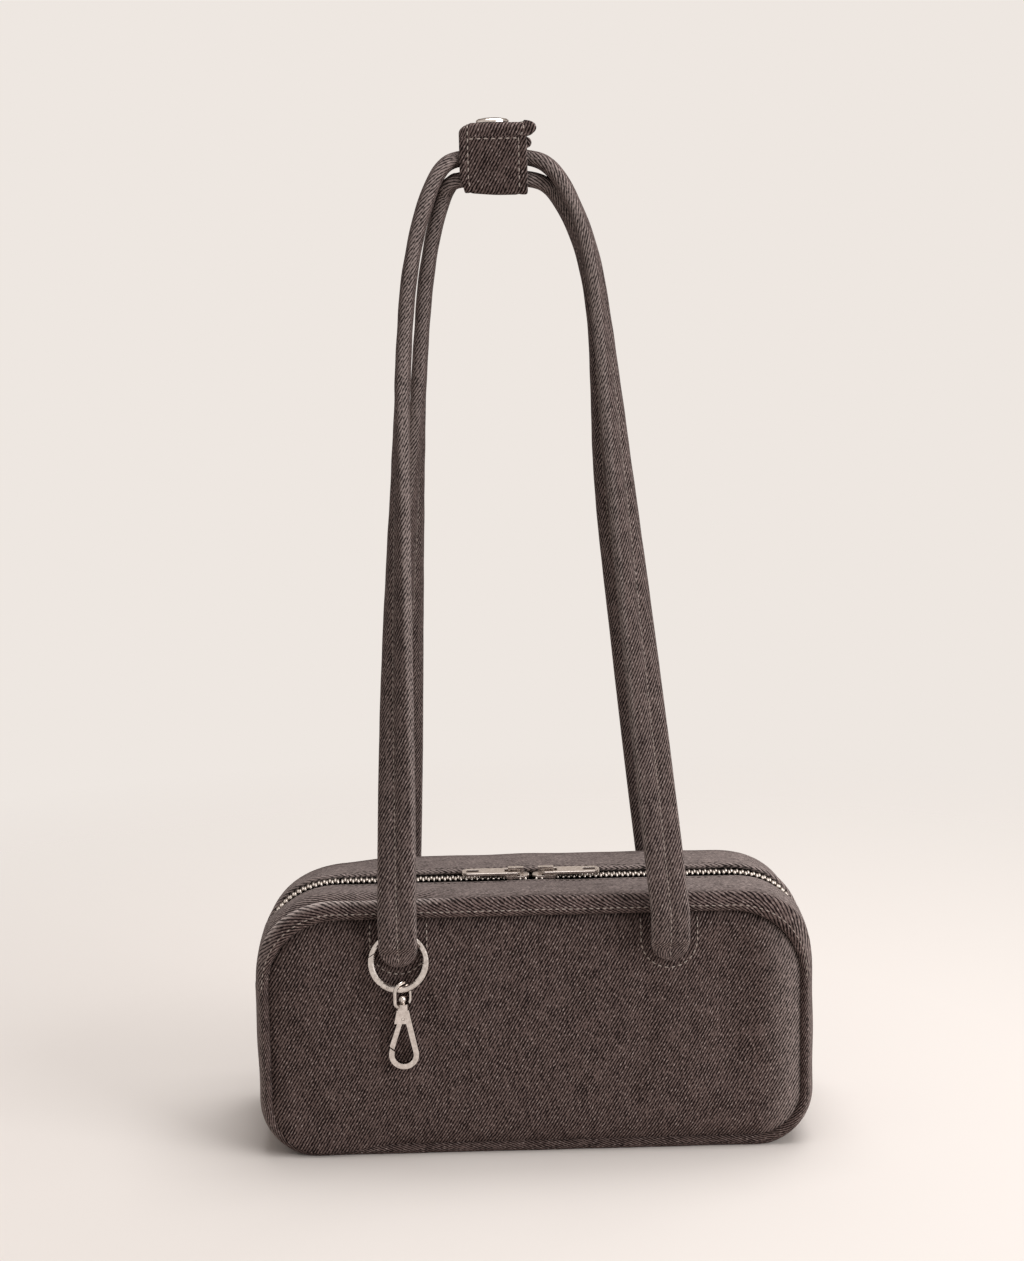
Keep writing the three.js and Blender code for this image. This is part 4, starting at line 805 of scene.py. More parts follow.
# painted shade: how much of the painted top light the sunk valley loses
VALLEY_PAINTED_SHADE = 0.8
TOP_PALE_SPAN = (0.8, 0.96)  # shares of the bulge between which the wear and painted top light fade in
SIDE_PALE_SPAN = (0.25, 0.7)
SIDE_FACING = (0.6, 1.0)  # sideways share of the outward direction


def half_section(inner_edge=0.0, fold=0.0, edge=CLOTH, dip=0.0):
    """Half of a gusset section from its seam inwards: distance, bulge share and depth, for both faces.
    Its inner edge is a fold that the cloth thins down to, lowered by the dip. Lists make a row each."""
    rows = np.broadcast_arrays(inner_edge, fold, edge, dip)
    inner_edge, fold, edge, dip = (values.reshape(-1, 1) for values in rows)
    start = inner_edge + fold
    end = np.arctan2(roll_share(start), start / ROLL_HALF)
    y, share = rolled(ROLL_FROM + (end - ROLL_FROM) * np.linspace(0, 1, 64))
    rounding = np.linspace(0, pi / 2, 5)[1:]
    fold_y = start - fold * np.sin(rounding)
    turned = np.concatenate([0 * y, fold * (1 - np.cos(rounding))], axis=1)
    y = np.concatenate([y, fold_y], axis=1)
    share = np.concatenate([share, roll_share(fold_y)], axis=1)
    near = 1 - smooth(inner_edge, DIP_FROM, y)
    low_y = np.minimum(y, SEAM_IN[2][0])
    outside = (y, share, dip * near + turned)
    inside = (low_y, roll_share(low_y), CLOTH - (CLOTH - edge) * near + dip * near - turned)
    section = []
    for points, face in ((SEAM_OUT, outside), (SEAM_IN, inside)):
        starts = np.array([(at, 0, -up) for at, up in points]).T
        section.append([np.concatenate([a + 0 * start, b], axis=1) for a, b in zip(starts, face)])
    return section


def whole(half):
    """Whole section from the front seam to the rear seam: a half section and its mirror image."""
    return [[np.concatenate([sign * a[:, :-1], a[:, ::-1]], axis=1) for sign, a in zip((-1, 1, 1), face)]
            for face in half]


def cloth_across(section):
    """Distance over the cloth from the bag's middle plane, positive in front, on a straight top."""
    y, share, depth = (a[0] for a in section)
    away = lengths(spread(y, TOP_BULGE * share - depth))
    middle = np.argmin(np.abs(y))
    return -np.sign(y[-1] - y[0]) * (away - away[middle]) - y[middle]


def roll_wear_and_painted_light(s, section):
    """How much paler the gusset is painted for wear and painted light: on top, along the sides, and most on
    the front ridge.
    """
    x, z, nx, nz = (v[:, None] for v in seam(s))
    y, share, depth = section
    # painted shade: in the sunk valley behind the ridge the top is painted less pale
    valley_shade = VALLEY_PAINTED_SHADE * valley(x, y, nz)
    # wear and painted top light: the roll is painted paler where it faces up
    top = smooth(*TOP_PALE_SPAN, share) * smooth(*TOP_FACING, nz) * (1 - valley_shade)
    # wear and painted side light: the roll is painted paler where it faces sideways
    sides = smooth(*SIDE_PALE_SPAN, share) * smooth(*SIDE_FACING, np.abs(nx))
    # wear and a painted highlight on the front ridge's crest, full on the left
    crest = CREST_WEAR_AND_PAINTED_HIGHLIGHT + (1 - CREST_WEAR_AND_PAINTED_HIGHLIGHT) * (1 - smooth(*VALLEY_FADES, x))
    return np.clip(TOP_WEAR_AND_PAINTED_LIGHT * top + SIDE_WEAR_AND_PAINTED_LIGHT * sides + crest * ridge(y, nz) ** 2, 0, 1)


def gusset_shell(s, section, rims=RIMS):
    """Gusset between two seam distances: both faces of a section carried along the seam."""
    outer, inner = (gusset(s, *face) for face in section)
    over = spread(cloth_across(section[0])[None, :], s[:, None])
    return shell(outer, inner, over, roll_wear_and_painted_light(s, section[0]), rims)


base_run = np.linspace(SIDE_FROM, 2 * HALF_LOOP - SIDE_FROM, 260)
base_gusset = grid_piece("base_gusset", denim, *gusset_shell(base_run, whole(half_section())))
carry(base_gusset, "bag", "denim", "bottom_gusset")

# %% [markdown]
# Stitches are short grains of thread laid end to end along a path, each shrinking to nothing at its ends.
# They are real geometry, so they catch the light and keep their size. Every row is one call, with the
# surface's outward direction.

# %% Stitches
STITCH_LENGTH = 2.1
STITCH_GAP = 1.0
STITCH_WIDTH = 0.42
STITCH_PROUD = 0.12  # share of its width that a stitch's middle stands out
BOLD_WIDTH = 0.62  # thicker thread round the strap ends and on the wrap
ROLL_STITCH_SHARE = 0.4  # share of the bulge at which the gusset is topstitched
ROLL_STITCH = ROLL_HALF * (1 - ROLL_STITCH_SHARE ** ROLL_POWER) ** (1 / ROLL_POWER)


def stitches(path, out, length=STITCH_LENGTH, gap=STITCH_GAP, width=STITCH_WIDTH):
    """Row of stitches: each runs straight along the path, and its round section shrinks at both ends."""
    away = lengths(path)
    count = int(away[-1] // (length + gap))
    middle = (np.arange(count) + 0.5) * away[-1] / count
    tail, head = (read_along(away, path, middle + end * length / 2) for end in (-1, 1))
    half = (head - tail) / 2
    up = unit(read_along(away, out, middle))
    side = unit(np.cross(half, up))
    t = np.linspace(-1, 1, 5)[None, :, None, None]
    turn = np.linspace(0, 2 * pi, 7)[None, None, :, None]
    thick = width / 2 * np.sqrt(np.clip(1 - t ** 4, 0, 1))
    raised = read_along(away, path, middle) + STITCH_PROUD * width * up
    spine = raised[:, None, None] + half[:, None, None] * t
    ring = np.cos(turn) * side[:, None, None] + np.sin(turn) * up[:, None, None]
    return patch(spine + thick * ring)


def roll_out(s, y):
    """Outward direction of the gusset roll: the slope of its superellipse, turned to the seam's normal."""
    x, z, nx, nz = seam(s)
    over = roll_share(y) ** (ROLL_POWER - 1) / bulge(nx, nz)
    sideways = squared(y / ROLL_HALF, ROLL_POWER - 1) / ROLL_HALF
    return unit(spread(nx * over, sideways, nz * over))


def roll_line(s, y, depth=0.0):
    """Line along the gusset at one distance from the middle plane, with its outward directions."""
    across = np.array([y])
    line = gusset(s, across, roll_share(across), np.array([depth]))[:, 0]
    return line, roll_out(s, y)


# painted shade: the base rows take the darkened thread for the shade low on the bag
rows = [stitches(*roll_line(base_run, face * ROLL_STITCH)) for face in SIDES]
carry(grid_piece("base_gusset_stitches", thread_with_painted_shade, *rows), "bag", "denim")

# %% [markdown]
# ## The zip opening
# On top, the gusset is split by the zip. The two flaps open in the middle and stay closed at the corners,
# so each flap is made in two halves, left and right. The front flap has sunk towards the teeth and the
# rear one stands proud. The corner ends stay with the bag: two strips each, which close up where the zip
# ends.

# %% Zip flaps and corner ends
FLAP_FOLD = {-1: 0.25, 1: 1.25}  # half the cloth's thickness at the slot, front and rear
FLAP_DIP = {-1: 2.5, 1: -0.4}
FLAP_RIMS = ("first", "last", "left")
FOLD_FULL = 2.0  # half a slot that still takes the whole fold
SLOT_HALF = 5.5
SLOT_STITCH = 8.1
SLOT_TAPER_FROM = radians(44)
SLOT_END = radians(62)
DIP_FADES_FROM = radians(35)


def bend_with_flap(piece):
    """Bakes the piece's placement into its mesh."""
    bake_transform(piece)
    return piece


def mirrored_to(face, section):
    """Half section on the front or the rear of the bag."""
    return [(face * y, share, depth) for y, share, depth in section]


def corner_turn(s):
    """Angle round a top corner at a seam distance."""
    return (np.abs(s) - CORNER_X) / TOP_RADIUS


def slot_width(s):
    """Half the slot at a distance round the corner: full, then closing in a quarter ellipse."""
    q = np.clip((corner_turn(s) - SLOT_TAPER_FROM) / (SLOT_END - SLOT_TAPER_FROM), 0, 1)
    return SLOT_HALF * np.sqrt(1 - q ** 2)


def corner_strip(side, face):
    """Front or rear half of a zip end: the flap's section round the corner, closing to the middle."""
    s = side * np.linspace(CORNER_X, SIDE_FROM, 90)
    half = slot_width(s)
    held = 1 - smooth(DIP_FADES_FROM, SLOT_END, corner_turn(s))
    fold = FLAP_FOLD[face] * smooth(0, FOLD_FULL, half)
    section = half_section(half, fold, 2 * fold, FLAP_DIP[face] * held)
    return gusset_shell(s, mirrored_to(face, section), FLAP_RIMS)


for hand, side in HANDS:
    end = grid_piece(f"zip_end_{hand}", denim, *corner_strip(side, -1), *corner_strip(side, 1))
    carry(end, "bag", "denim", f"zip_gusset_{hand}_end")
    run = side * np.linspace(CORNER_X, SIDE_FROM, 60)
    rows = [stitches(*roll_line(run, face * ROLL_STITCH)) for face in SIDES]
    carry(grid_piece(f"zip_end_{hand}_stitches", thread, *rows), "bag", "denim")
    for flap, face in FACES:
        fold = FLAP_FOLD[face]
        section = mirrored_to(face, half_section(SLOT_HALF, fold, 2 * fold, FLAP_DIP[face]))
        run = side * np.linspace(0, CORNER_X, 80)
        half = grid_piece(f"zip_flap_{flap}_{hand}", denim, *gusset_shell(run, section, FLAP_RIMS))
        bend_with_flap(half)
        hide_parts(f"zip_gusset_{flap}")
        seam_row = stitches(*roll_line(run, face * ROLL_STITCH))
        bend_with_flap(grid_piece(f"zip_flap_{flap}_{hand}_stitches", thread, seam_row))
        sunk = FLAP_DIP[face] * (1 - smooth(SLOT_HALF, DIP_FROM, SLOT_STITCH))
        slot_row = stitches(*roll_line(run, face * SLOT_STITCH, sunk))
        # painted shade: the slot rows take the darkened thread for the shade in the zip slot
        bend_with_flap(grid_piece(f"zip_slot_{flap}_{hand}_stitches", thread_with_painted_shade, slot_row))

# %% [markdown]
# ## Tape and teeth
# The zip has a woven tape on each side and a row of metal teeth on each tape's edge. The teeth of the two
# rows take turns. Each tooth is a small rounded block from a superellipsoid, copied along the row and
# round the corners.

# %% Tape and teeth
CHAIN_DEPTH = 3.4
CHAIN_Z = TOP_Z + TOP_BULGE - CHAIN_DEPTH
TAPE_EDGE = 3.3
TAPE_HALF = 14.0
TAPE_THICK = 0.6
TAPE_END = radians(70)
TOOTH_PITCH = 2.6
TOOTH_HALF = (0.6, 2.0, 1.2)  # along, across, up
TOOTH_MIDDLE = 1.1  # tooth middle from the zip's middle line
TOOTH_LIFT = 0.9
TOOTH_POWER = 0.55  # low, for a block with round edges
TEETH_SHARP = 80
CORNER_TEETH_FROM = 1.1  # first and last tooth from the ends of a corner row
CORNER_TEETH_TO = 0.9
CHAIN_SPLIT = 2.2
SPLIT_FROM = 4.0
SPLIT_TO = 10.0


def split_at(x):
    """How far each row moves aside where the two sliders meet."""
    return CHAIN_SPLIT * (1 - smooth(SPLIT_FROM, SPLIT_TO, np.abs(x)))


def tooth_shape():
    """Superellipsoid: cosines and sines raised to a low power give a block with round edges."""
    around = np.linspace(0, 2 * pi, 9)[None, :] + pi / 8
    tilt = np.linspace(-pi / 2, pi / 2, 6)[:, None]
    waves = (np.cos(tilt), np.sin(tilt), np.cos(around), np.sin(around))
    wide, up, along, across = (squared(wave, TOOTH_POWER) for wave in waves)
    return spread(wide * along, wide * across, up) * TOOTH_HALF


def straight_teeth(face, side):
    """Half a row of teeth: copies a pitch apart, moved aside at the sliders."""
    shift = 0.0 if face < 0 else TOOTH_PITCH / 2
    count = int((CORNER_X - side * shift) / TOOTH_PITCH) + 1
    at = side * (np.arange(1 if side * shift <= 0 else 0, count) * TOOTH_PITCH + side * shift)
    tooth = tooth_shape()[None] + np.zeros((len(at), 1, 1, 1))
    x = tooth[..., 0] + at[:, None, None]
    y = face * (TOOTH_MIDDLE + tooth[..., 1] + split_at(at)[:, None, None])
    return patch(spread(x, y, CHAIN_Z + TOOTH_LIFT + tooth[..., 2]))


def corner_teeth(side):
    """Both rows round a top corner: the distance along becomes an angle, and the height a radius."""
    radius = TOP_RADIUS + TOP_BULGE - CHAIN_DEPTH
    at = np.arange(CORNER_TEETH_FROM, SLOT_END * radius - CORNER_TEETH_TO, TOOTH_PITCH / 2)
    row = np.where(np.arange(len(at)) % 2 == 0, -1.0, 1.0)[:, None, None]
    tooth = tooth_shape()[None] + np.zeros((len(at), 1, 1, 1))
    turn = (at[:, None, None] + tooth[..., 0]) / radius
    nx, nz = side * np.sin(turn), np.cos(turn)
    reach = TOP_RADIUS + bulge(nx, nz) - CHAIN_DEPTH + TOOTH_LIFT + tooth[..., 2]
    x = side * CORNER_X + reach * nx
    z = TOP_Z - TOP_RADIUS + reach * nz
    return patch(spread(x, row * (TOOTH_MIDDLE + tooth[..., 1]), z))


def straight_tape(face, side):
    """Half a zip tape: a thin strip from the teeth to its outer edge."""
    x = side * np.linspace(0, CORNER_X, 60)[:, None]
    share = np.linspace(0, 1, 5)[None, :]
    inner_edge = TAPE_EDGE + split_at(x)
    y = face * (inner_edge + (TAPE_HALF - inner_edge) * share)
    faces = [spread(x, y, CHAIN_Z + up * TAPE_THICK / 2) for up in (1, -1)]
    return shell(*faces, cloth_of(faces[0]))


def corner_tape(side):
    """Tape round a top corner: one strip on each side of the teeth."""
    s = side * np.linspace(CORNER_X, CORNER_X + TOP_RADIUS * TAPE_END, 40)
    strips = []
    for face in SIDES:
        y = face * np.linspace(TAPE_EDGE, TAPE_HALF, 5)
        faces = [gusset(s, y, roll_share(y), CHAIN_DEPTH + up * TAPE_THICK / 2 + 0 * y) for up in (-1, 1)]
        strips += shell(*faces, cloth_of(faces[0]))
    return strips


for hand, side in HANDS:
    teeth = grid_piece(f"zip_teeth_{hand}_end", teeth_metal, corner_teeth(side), sharp=TEETH_SHARP)
    carry(teeth, "bag", "zip_teeth", f"zip_chain_{hand}_end")
    tape = grid_piece(f"zip_tape_{hand}_corner", tape_cloth, *corner_tape(side))
    carry(tape, "bag", "zip_tape", f"zip_tape_{hand}_end")
    for flap, face in FACES:
        row = straight_teeth(face, side)
        teeth = grid_piece(f"zip_teeth_{flap}_{hand}", teeth_metal, row, sharp=TEETH_SHARP)
        bend_with_flap(teeth)
        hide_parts(f"zip_chain_{flap}")
        tape = grid_piece(f"zip_tape_{flap}_{hand}", tape_cloth, *straight_tape(face, side))
        bend_with_flap(tape)
        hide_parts(f"zip_tape_{flap}")

# %% [markdown]
# ## Straps
# Each handle is one long padded strap: a tube of denim round a soft core, sewn flat down its middle so
# that two channels swell on either side. It starts on the panel, steps out, rises and turns edge-on, and
# lies flat at the top. A centre line is laid first, then a frame that turns with it, and the same section
# is carried along.

# %% Strap paths
SEWN_TOP_Z = 101.5
FREE_FROM_Z = 106.5
STRAP_STANDOFF = 4.4
STRAP_THICK = 7.5
FOOT_Z = 119.0
STRAP_SPLIT_Z = 151.0
SPLIT_CUT = 0.15  # half the cut between a sewn end and the loop
LEG_HEIGHTS = (230.0, 310.0)  # where the loop's path is pinned between the cut and the shoulder
END_FROM = 0.7  # spacing of the rows of a sewn end, above its round tip
END_STEP = 0.9
FREE_Z = (112.0, 126.0)  # the strap follows its own path above this, and the panel below
TWIST_FROM_Z = 111.0
TWIST_TO_Z = {-1: 361.0, 1: 451.0}
SHOULDER_Z = 386.0
SHOULDER_X = {-1: -53.0, 1: 38.0}
SHOULDER_TURNS = np.radians([22, 46, 70])
SHOULDER_FULLNESS = 2.4
REAR_INSET = {-1: 7.4, 1: -4.8}
REAR_RETURN = {-1: 0.0, 1: 0.85}  # share of the inset lost again near the shoulder
RETURN_FROM = 0.72  # share of the leg
LEG_BOW = 1.5
CREST_Z = 463.6
STACK = 9.6
WRAP_X = -10.5
WRAP_WIDTH = 31.0
WRAP_EASE = 1.5  # the straps stay straight for this far outside the wrap
GAP = 0.3
SEAT = HALF_DEPTH + crown((STRAP_END_Z - MID_Z) / (TOP_Z - MID_Z)) + GAP + STRAP_THICK / 2
FOOT_Y = SEAT + STRAP_STANDOFF


def leg(side, face, z):
    """Middle of a strap leg at heights z: up the panel, a step out, then straight to the shoulder."""
    t = np.clip((z - FOOT_Z) / (SHOULDER_Z - FOOT_Z), 0, None)
    inset = REAR_INSET[side] * (1 - REAR_RETURN[side] * smooth(RETURN_FROM, 1.0, t)) if face > 0 else 0 * t
    bow = -LEG_BOW * np.sin(pi * t) if side < 0 else 0 * t
    x = side * STRAP_X + (SHOULDER_X[side] + inset - side * STRAP_X) * t + bow
    standing = SEAT + STRAP_STANDOFF * smooth(SEWN_TOP_Z, FREE_FROM_Z, z)
    y = np.where(z < FOOT_Z, standing, FOOT_Y * (1 - (z - FOOT_Z) / (CREST_Z - FOOT_Z)))
    return spread(x, face * y, z)


def through(points, count):
    """Smooth path through points: Catmull-Rom spans timed by the square root of each chord."""
    p = np.concatenate([[2 * points[0] - points[1]], points, [2 * points[-1] - points[-2]]])
    time = np.linalg.norm(np.diff(p, axis=0), axis=1)[:, None] ** 0.5
    a, b, c = time[:-2], time[1:-1], time[2:]
    p0, p1, p2, p3 = p[:-3], p[1:-2], p[2:-1], p[3:]
    start = ((p1 - p0) / a - (p2 - p0) / (a + b) + (p2 - p1) / b) * b
    stop = ((p2 - p1) / b - (p3 - p1) / (b + c) + (p3 - p2) / c) * b
    u = np.linspace(0, 1, 24, endpoint=False)[None, :, None]
    p1, p2, start, stop = (v[:, None] for v in (p1, p2, start, stop))
    square = 3 * p2 - 3 * p1 - 2 * start - stop
    cube = 2 * p1 - 2 * p2 + start + stop
    line = p1 + start * u + square * u ** 2 + cube * u ** 3
    return evenly(np.concatenate([line.reshape(-1, 3), points[-1:]]), count)


def handle_loop(face, count):
    """Path over the top: both legs, the two shoulder arcs and the straight stretch inside the wrap."""
    crest = CREST_Z - (STACK if face > 0 else 0)
    half = WRAP_WIDTH / 2 + WRAP_EASE
    heights = np.array([STRAP_SPLIT_Z + SPLIT_CUT, *LEG_HEIGHTS, SHOULDER_Z])
    turn = SHOULDER_TURNS
    sides = []
    for side in SIDES:
        foot = leg(side, face, np.array([SHOULDER_Z]))[0]
        edge = WRAP_X + side * half
        x = edge + (foot[0] - edge) * np.cos(turn) - side * SHOULDER_FULLNESS * np.sin(2 * turn)
        z = SHOULDER_Z + (crest - SHOULDER_Z) * np.sin(turn)
        shoulder = spread(x, foot[1] * np.cos(turn), z)
        sides.append(np.concatenate([leg(side, face, heights), shoulder]))
    top = np.array([[WRAP_X + share * half, 0, crest] for share in (-1, 0, 1)])
    return through(np.concatenate([sides[0], top, sides[1][::-1]]), count)


def strap_path(face):
    """Whole strap: centre line from tip to tip, and the share of its width and thickness at each point."""
    round_tip = np.linspace(0, pi / 2, 14)
    tip_z = STRAP_END_Z + STRAP_HALF * (1 - np.cos(round_tip))
    straight_z = np.arange(tip_z[-1] + END_FROM, STRAP_SPLIT_Z - 2 * SPLIT_CUT, END_STEP)
    end_z = np.concatenate([tip_z, straight_z])
    full = np.concatenate([np.sin(round_tip), np.ones(len(end_z) - len(round_tip))])
    loop = handle_loop(face, 460)
    line = np.concatenate([leg(-1, face, end_z), loop, leg(1, face, end_z[::-1])])
    return line, np.concatenate([full, np.ones(len(loop)), full[::-1]])


def strap_frame(line, face):
    """Direction along the strap, outward normal and sideways direction: the normal turns from the panel's
    to the outside of the loop as the leg rises."""
    going = np.gradient(line, axis=0)
    middle = int(np.argmax(line[:, 2]))
    up = np.where(np.arange(len(line)) <= middle, 1.0, -1.0)[:, None]
    free = smooth(*FREE_Z, line[:, 2])[:, None]
    along = unit((1 - free) * up * (0, 0, 1) + free * unit(going))
    left = line[:, 0] < WRAP_X
    twist_to = np.where(left, TWIST_TO_Z[-1], TWIST_TO_Z[1])
    turn = np.clip((line[:, 2] - TWIST_FROM_Z) / (twist_to - TWIST_FROM_Z), 0, 1)[:, None] * pi / 2
    outside = unit(spread(-along[:, 2], 0 * along[:, 0], along[:, 0]))
    normal = np.array([0.0, face, 0.0]) * np.cos(turn) + outside * np.sin(turn)
    normal = unit(normal - along * (normal * along).sum(axis=1, keepdims=True))
    return along, normal, np.cross(along, normal)


print("strap length:", [round(lengths(strap_path(face)[0])[-1]) for face in SIDES], "mm")

# %% [markdown]
# The strap's section is a superellipse, pinched where the centre stitch pulls both faces together. Its
# stuffing is a little uneven and its edges are rubbed paler.

# %% Straps
GROOVE = 0.3  # share of the thickness that the centre stitch takes
GROOVE_WIDTH = 1.7
STRAP_RIM_POWER = 0.8  # lower is squarer: across the strap, then through it
STRAP_FACE_POWER = 0.62
TIP_POWER = 0.6  # how soon a round tip is at its full thickness
STUFFING = ((6.1, 0.02, 0.0), (2.7, 0.015, 1.3))  # length, share and start of each wave in the core
STRAP_WEAR = 0.08
STRAP_EDGE_WEAR = 0.22
STRAP_WORN = (0.8, 0.98)
UNSEWN_ROWS = 6  # rows at each tip without centre stitches
STRAP_SHARP = 70


def strap_section(share, thick, uneven):
    """Two padded channels: a superellipse pinched along its middle. Rows follow the strap."""
    turn = np.linspace(0, 2 * pi, 49)[None, :]
    w = STRAP_HALF * squared(np.cos(turn), STRAP_RIM_POWER) * share[:, None]
    pinch = 1 - GROOVE * bell(w, 0, GROOVE_WIDTH)
    t = STRAP_THICK / 2 * pinch * squared(np.sin(turn), STRAP_FACE_POWER) * (thick * uneven)[:, None]
    return spread(w, t)


for name, face in FACES:
    line, full = strap_path(face)
    along, normal, side = strap_frame(line, face)
    away = lengths(line)
    uneven = 1 + sum(share * np.sin(away / length + start) for length, share, start in STUFFING)
    thick = full ** TIP_POWER
    section = strap_section(full, thick, uneven)
    points = sweep(line, side, normal, section)
    round_it = -lengths(points[len(points) // 2])
    cloth = spread(round_it[None, :], away[:, None])
    wear_and_painted_light = STRAP_WEAR + STRAP_EDGE_WEAR * smooth(*STRAP_WORN, np.abs(section[..., 0]) / STRAP_HALF)
    strap = grid_piece(f"{name}_strap", denim, patch(points, cloth, wear_and_painted_light), sharp=STRAP_SHARP)
    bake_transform(strap)
    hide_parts(f"{name}_handle", f"{name}_left_strap_end", f"{name}_right_strap_end")
    sewn = slice(UNSEWN_ROWS, -UNSEWN_ROWS)
    rise = STRAP_THICK / 2 * (1 - GROOVE) * (thick * uneven)[:, None]
    rows = [stitches((line + up * rise * normal)[sewn], up * normal[sewn]) for up in (1, -1)]
    seam_row = grid_piece(f"{name}_strap_stitches", thread, *rows)
    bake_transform(seam_row)

# %% [markdown]
# ## The wrap
# A band of doubled denim goes round both straps, and its long end folds back from the front as a flap
# that a press stud closes. Both are ribbons swept along a path in the bag's end view, and the flap bends
# at its root. Use has shaped the cloth: its left edge droops at the top and is drawn in below, and its
# right edge has curled outwards.

# %% Wrap band and flap
WRAP_CLOTH = 2.2
WRAP_ROOM = 0.8
WRAP_HEADROOM = 6.0
WRAP_CORNER = 4.0
FLAP_LIFT = 2.1
FLAP_OVERHANG = 0.6
FLAP_ROOT_DROP = 4.0
INNER_END_SETBACK = 5.0
WRAP_STITCH = 11.6  # stitch rows from the wrap's middle
STITCH_GROOVE = 0.28
STITCH_GROOVE_WIDTH = 0.9
HEM_DROP = 1.1  # stitch row across the front, below the flap's root
LEFT_DROOP = 3.4
LEFT_DRAWN_IN = 2.0
LEFT_FROM = 9.0  # distances from the wrap's middle where its edges start to move
RIGHT_FROM = 7.0
RIGHT_CURL = 4.4
RIGHT_KNOB = 2.6
LOW_RISE = 1.2  # the lower edge climbs to the left
LOW_RISE_FROM = 4.0
LOW_BAND = 9.0  # height of the lower part that is drawn in
FLAP_EDGE = 0.9  # the flap's right edge is thicker by this share
BAND_ROWS = 150
BAND_PUFF = 0.06  # the band swells and thins by this share
BAND_PUFF_ROWS = 5.0
FLAP_ROWS = 70
NEAR_WALL = 0.4
WRAP_WEAR = 0.25
WRAP_WORN = (0.95, 1.0)
WRAP_HALF = STRAP_HALF + WRAP_ROOM + WRAP_CLOTH
WRAP_LOW = CREST_Z - STACK - STRAP_THICK / 2 - WRAP_ROOM - WRAP_CLOTH
INNER_TOP = CREST_Z + STRAP_THICK / 2 + WRAP_HEADROOM + WRAP_CLOTH
FLAP_TOP = INNER_TOP + FLAP_LIFT + WRAP_CLOTH
FLAP_ROOT = FLAP_TOP - WRAP_CLOTH - FLAP_ROOT_DROP
CURL_Z = FLAP_ROOT + 3.6
CURL_HALF = 3.4
KNOB_Z = FLAP_ROOT - 2.7
KNOB_HALF = 2.6
KNOB_Y = (2.0, 9.0)  # the knob is only on the rear half
HIGH_Z = (FLAP_ROOT - 3.0, FLAP_TOP - 1.0)  # the left edge droops above this


def rounded_path(corners, radius, count):
    """Line in the end view with a quarter circle at each corner: points, and outward directions."""
    corners = np.array([(0.0, y, z) for y, z in corners])
    turn = np.linspace(0, pi / 2, 12)[:, None]
    line = [corners[:1]]
    for before, at, after in zip(corners, corners[1:], corners[2:]):
        back, on = unit(before - at), unit(after - at)
        line.append(at + radius * (back + on) - radius * (on * np.cos(turn) + back * np.sin(turn)))
    line = evenly(np.concatenate(line + [corners[-1:]]), count)
    out = np.cross((1.0, 0.0, 0.0), unit(np.gradient(line, axis=0)))
    return line + (WRAP_X, 0, 0), out


def worn_in(points):
    """Points of the wrap moved as use has shaped it: each edge by a smooth share of its own movement."""
    across, y, z = points[..., 0] - WRAP_X, points[..., 1], points[..., 2]
    left = np.clip(-across - LEFT_FROM, 0, None) / (WRAP_WIDTH / 2 - LEFT_FROM)
    right = smooth(RIGHT_FROM, WRAP_WIDTH / 2, across)
    high = smooth(*HIGH_Z, z)
    low = 1 - smooth(WRAP_LOW, WRAP_LOW + LOW_BAND, z)
    rounds = ((CURL_Z, CURL_HALF), (KNOB_Z, KNOB_HALF))
    curl, knob = (np.sqrt(np.clip(1 - ((z - at) / half) ** 2, 0, 1)) for at, half in rounds)
    outwards = RIGHT_CURL * curl + RIGHT_KNOB * knob * smooth(*KNOB_Y, y)
    sideways = LEFT_DRAWN_IN * low * left + right * outwards
    climb = LOW_RISE * low * smooth(LOW_RISE_FROM, -WRAP_WIDTH / 2, across)
    upwards = climb - LEFT_DROOP * left ** 2 * high
    return points + spread(sideways, 0 * y, upwards)


def ribbon(half, thick, right_edge=0.0):
    """Section of a sewn band: two flat faces, round rims and a shallow groove under each stitch row.
    The right edge can be thicker by a share."""
    rim = thick / 2
    across = np.linspace(rim - half, half - rim, 60)
    turn = np.linspace(0, pi, 9)[1:-1]
    sunk = STITCH_GROOVE * bell(np.abs(across), WRAP_STITCH, STITCH_GROOVE_WIDTH)
    face = spread(across, rim - sunk)
    right = spread(half - rim + rim * np.sin(turn), rim * np.cos(turn))
    loop = np.concatenate([face, right, face[::-1] * (1, -1), right * (-1, -1)])
    loop[:, 1] *= 1 + right_edge * smooth(WRAP_STITCH - 1, half, loop[:, 0])
    return np.concatenate([loop, loop[:1]])


def ribbon_piece(name, line, out, section):
    """Ribbon along a path, with the weave along it."""
    side = np.broadcast_to((1.0, 0.0, 0.0), line.shape)
    points = worn_in(sweep(line, side, out, section))
    section = np.broadcast_to(section, points.shape[:2] + (2,))
    cloth = spread(points[..., 0] - WRAP_X, lengths(line)[:, None])
    wear_and_painted_light = WRAP_WEAR * smooth(*WRAP_WORN, np.abs(section[..., 0]) / (WRAP_WIDTH / 2))
    ends = [capped(grid) for grid in (points, cloth)]
    return grid_piece(name, denim, patch(*ends, np.concatenate([wear_and_painted_light[:1], wear_and_painted_light, wear_and_painted_light[-1:]])))


def band_rows(line, out, picked):
    """Stitch rows along both edges of a stretch of the wrap."""
    rise = (WRAP_CLOTH / 2 - STITCH_GROOVE) * out
    rows = [worn_in(line + rise + (side * WRAP_STITCH, 0, 0)) for side in SIDES]
    return [stitches(row[picked], out[picked], width=BOLD_WIDTH) for row in rows]


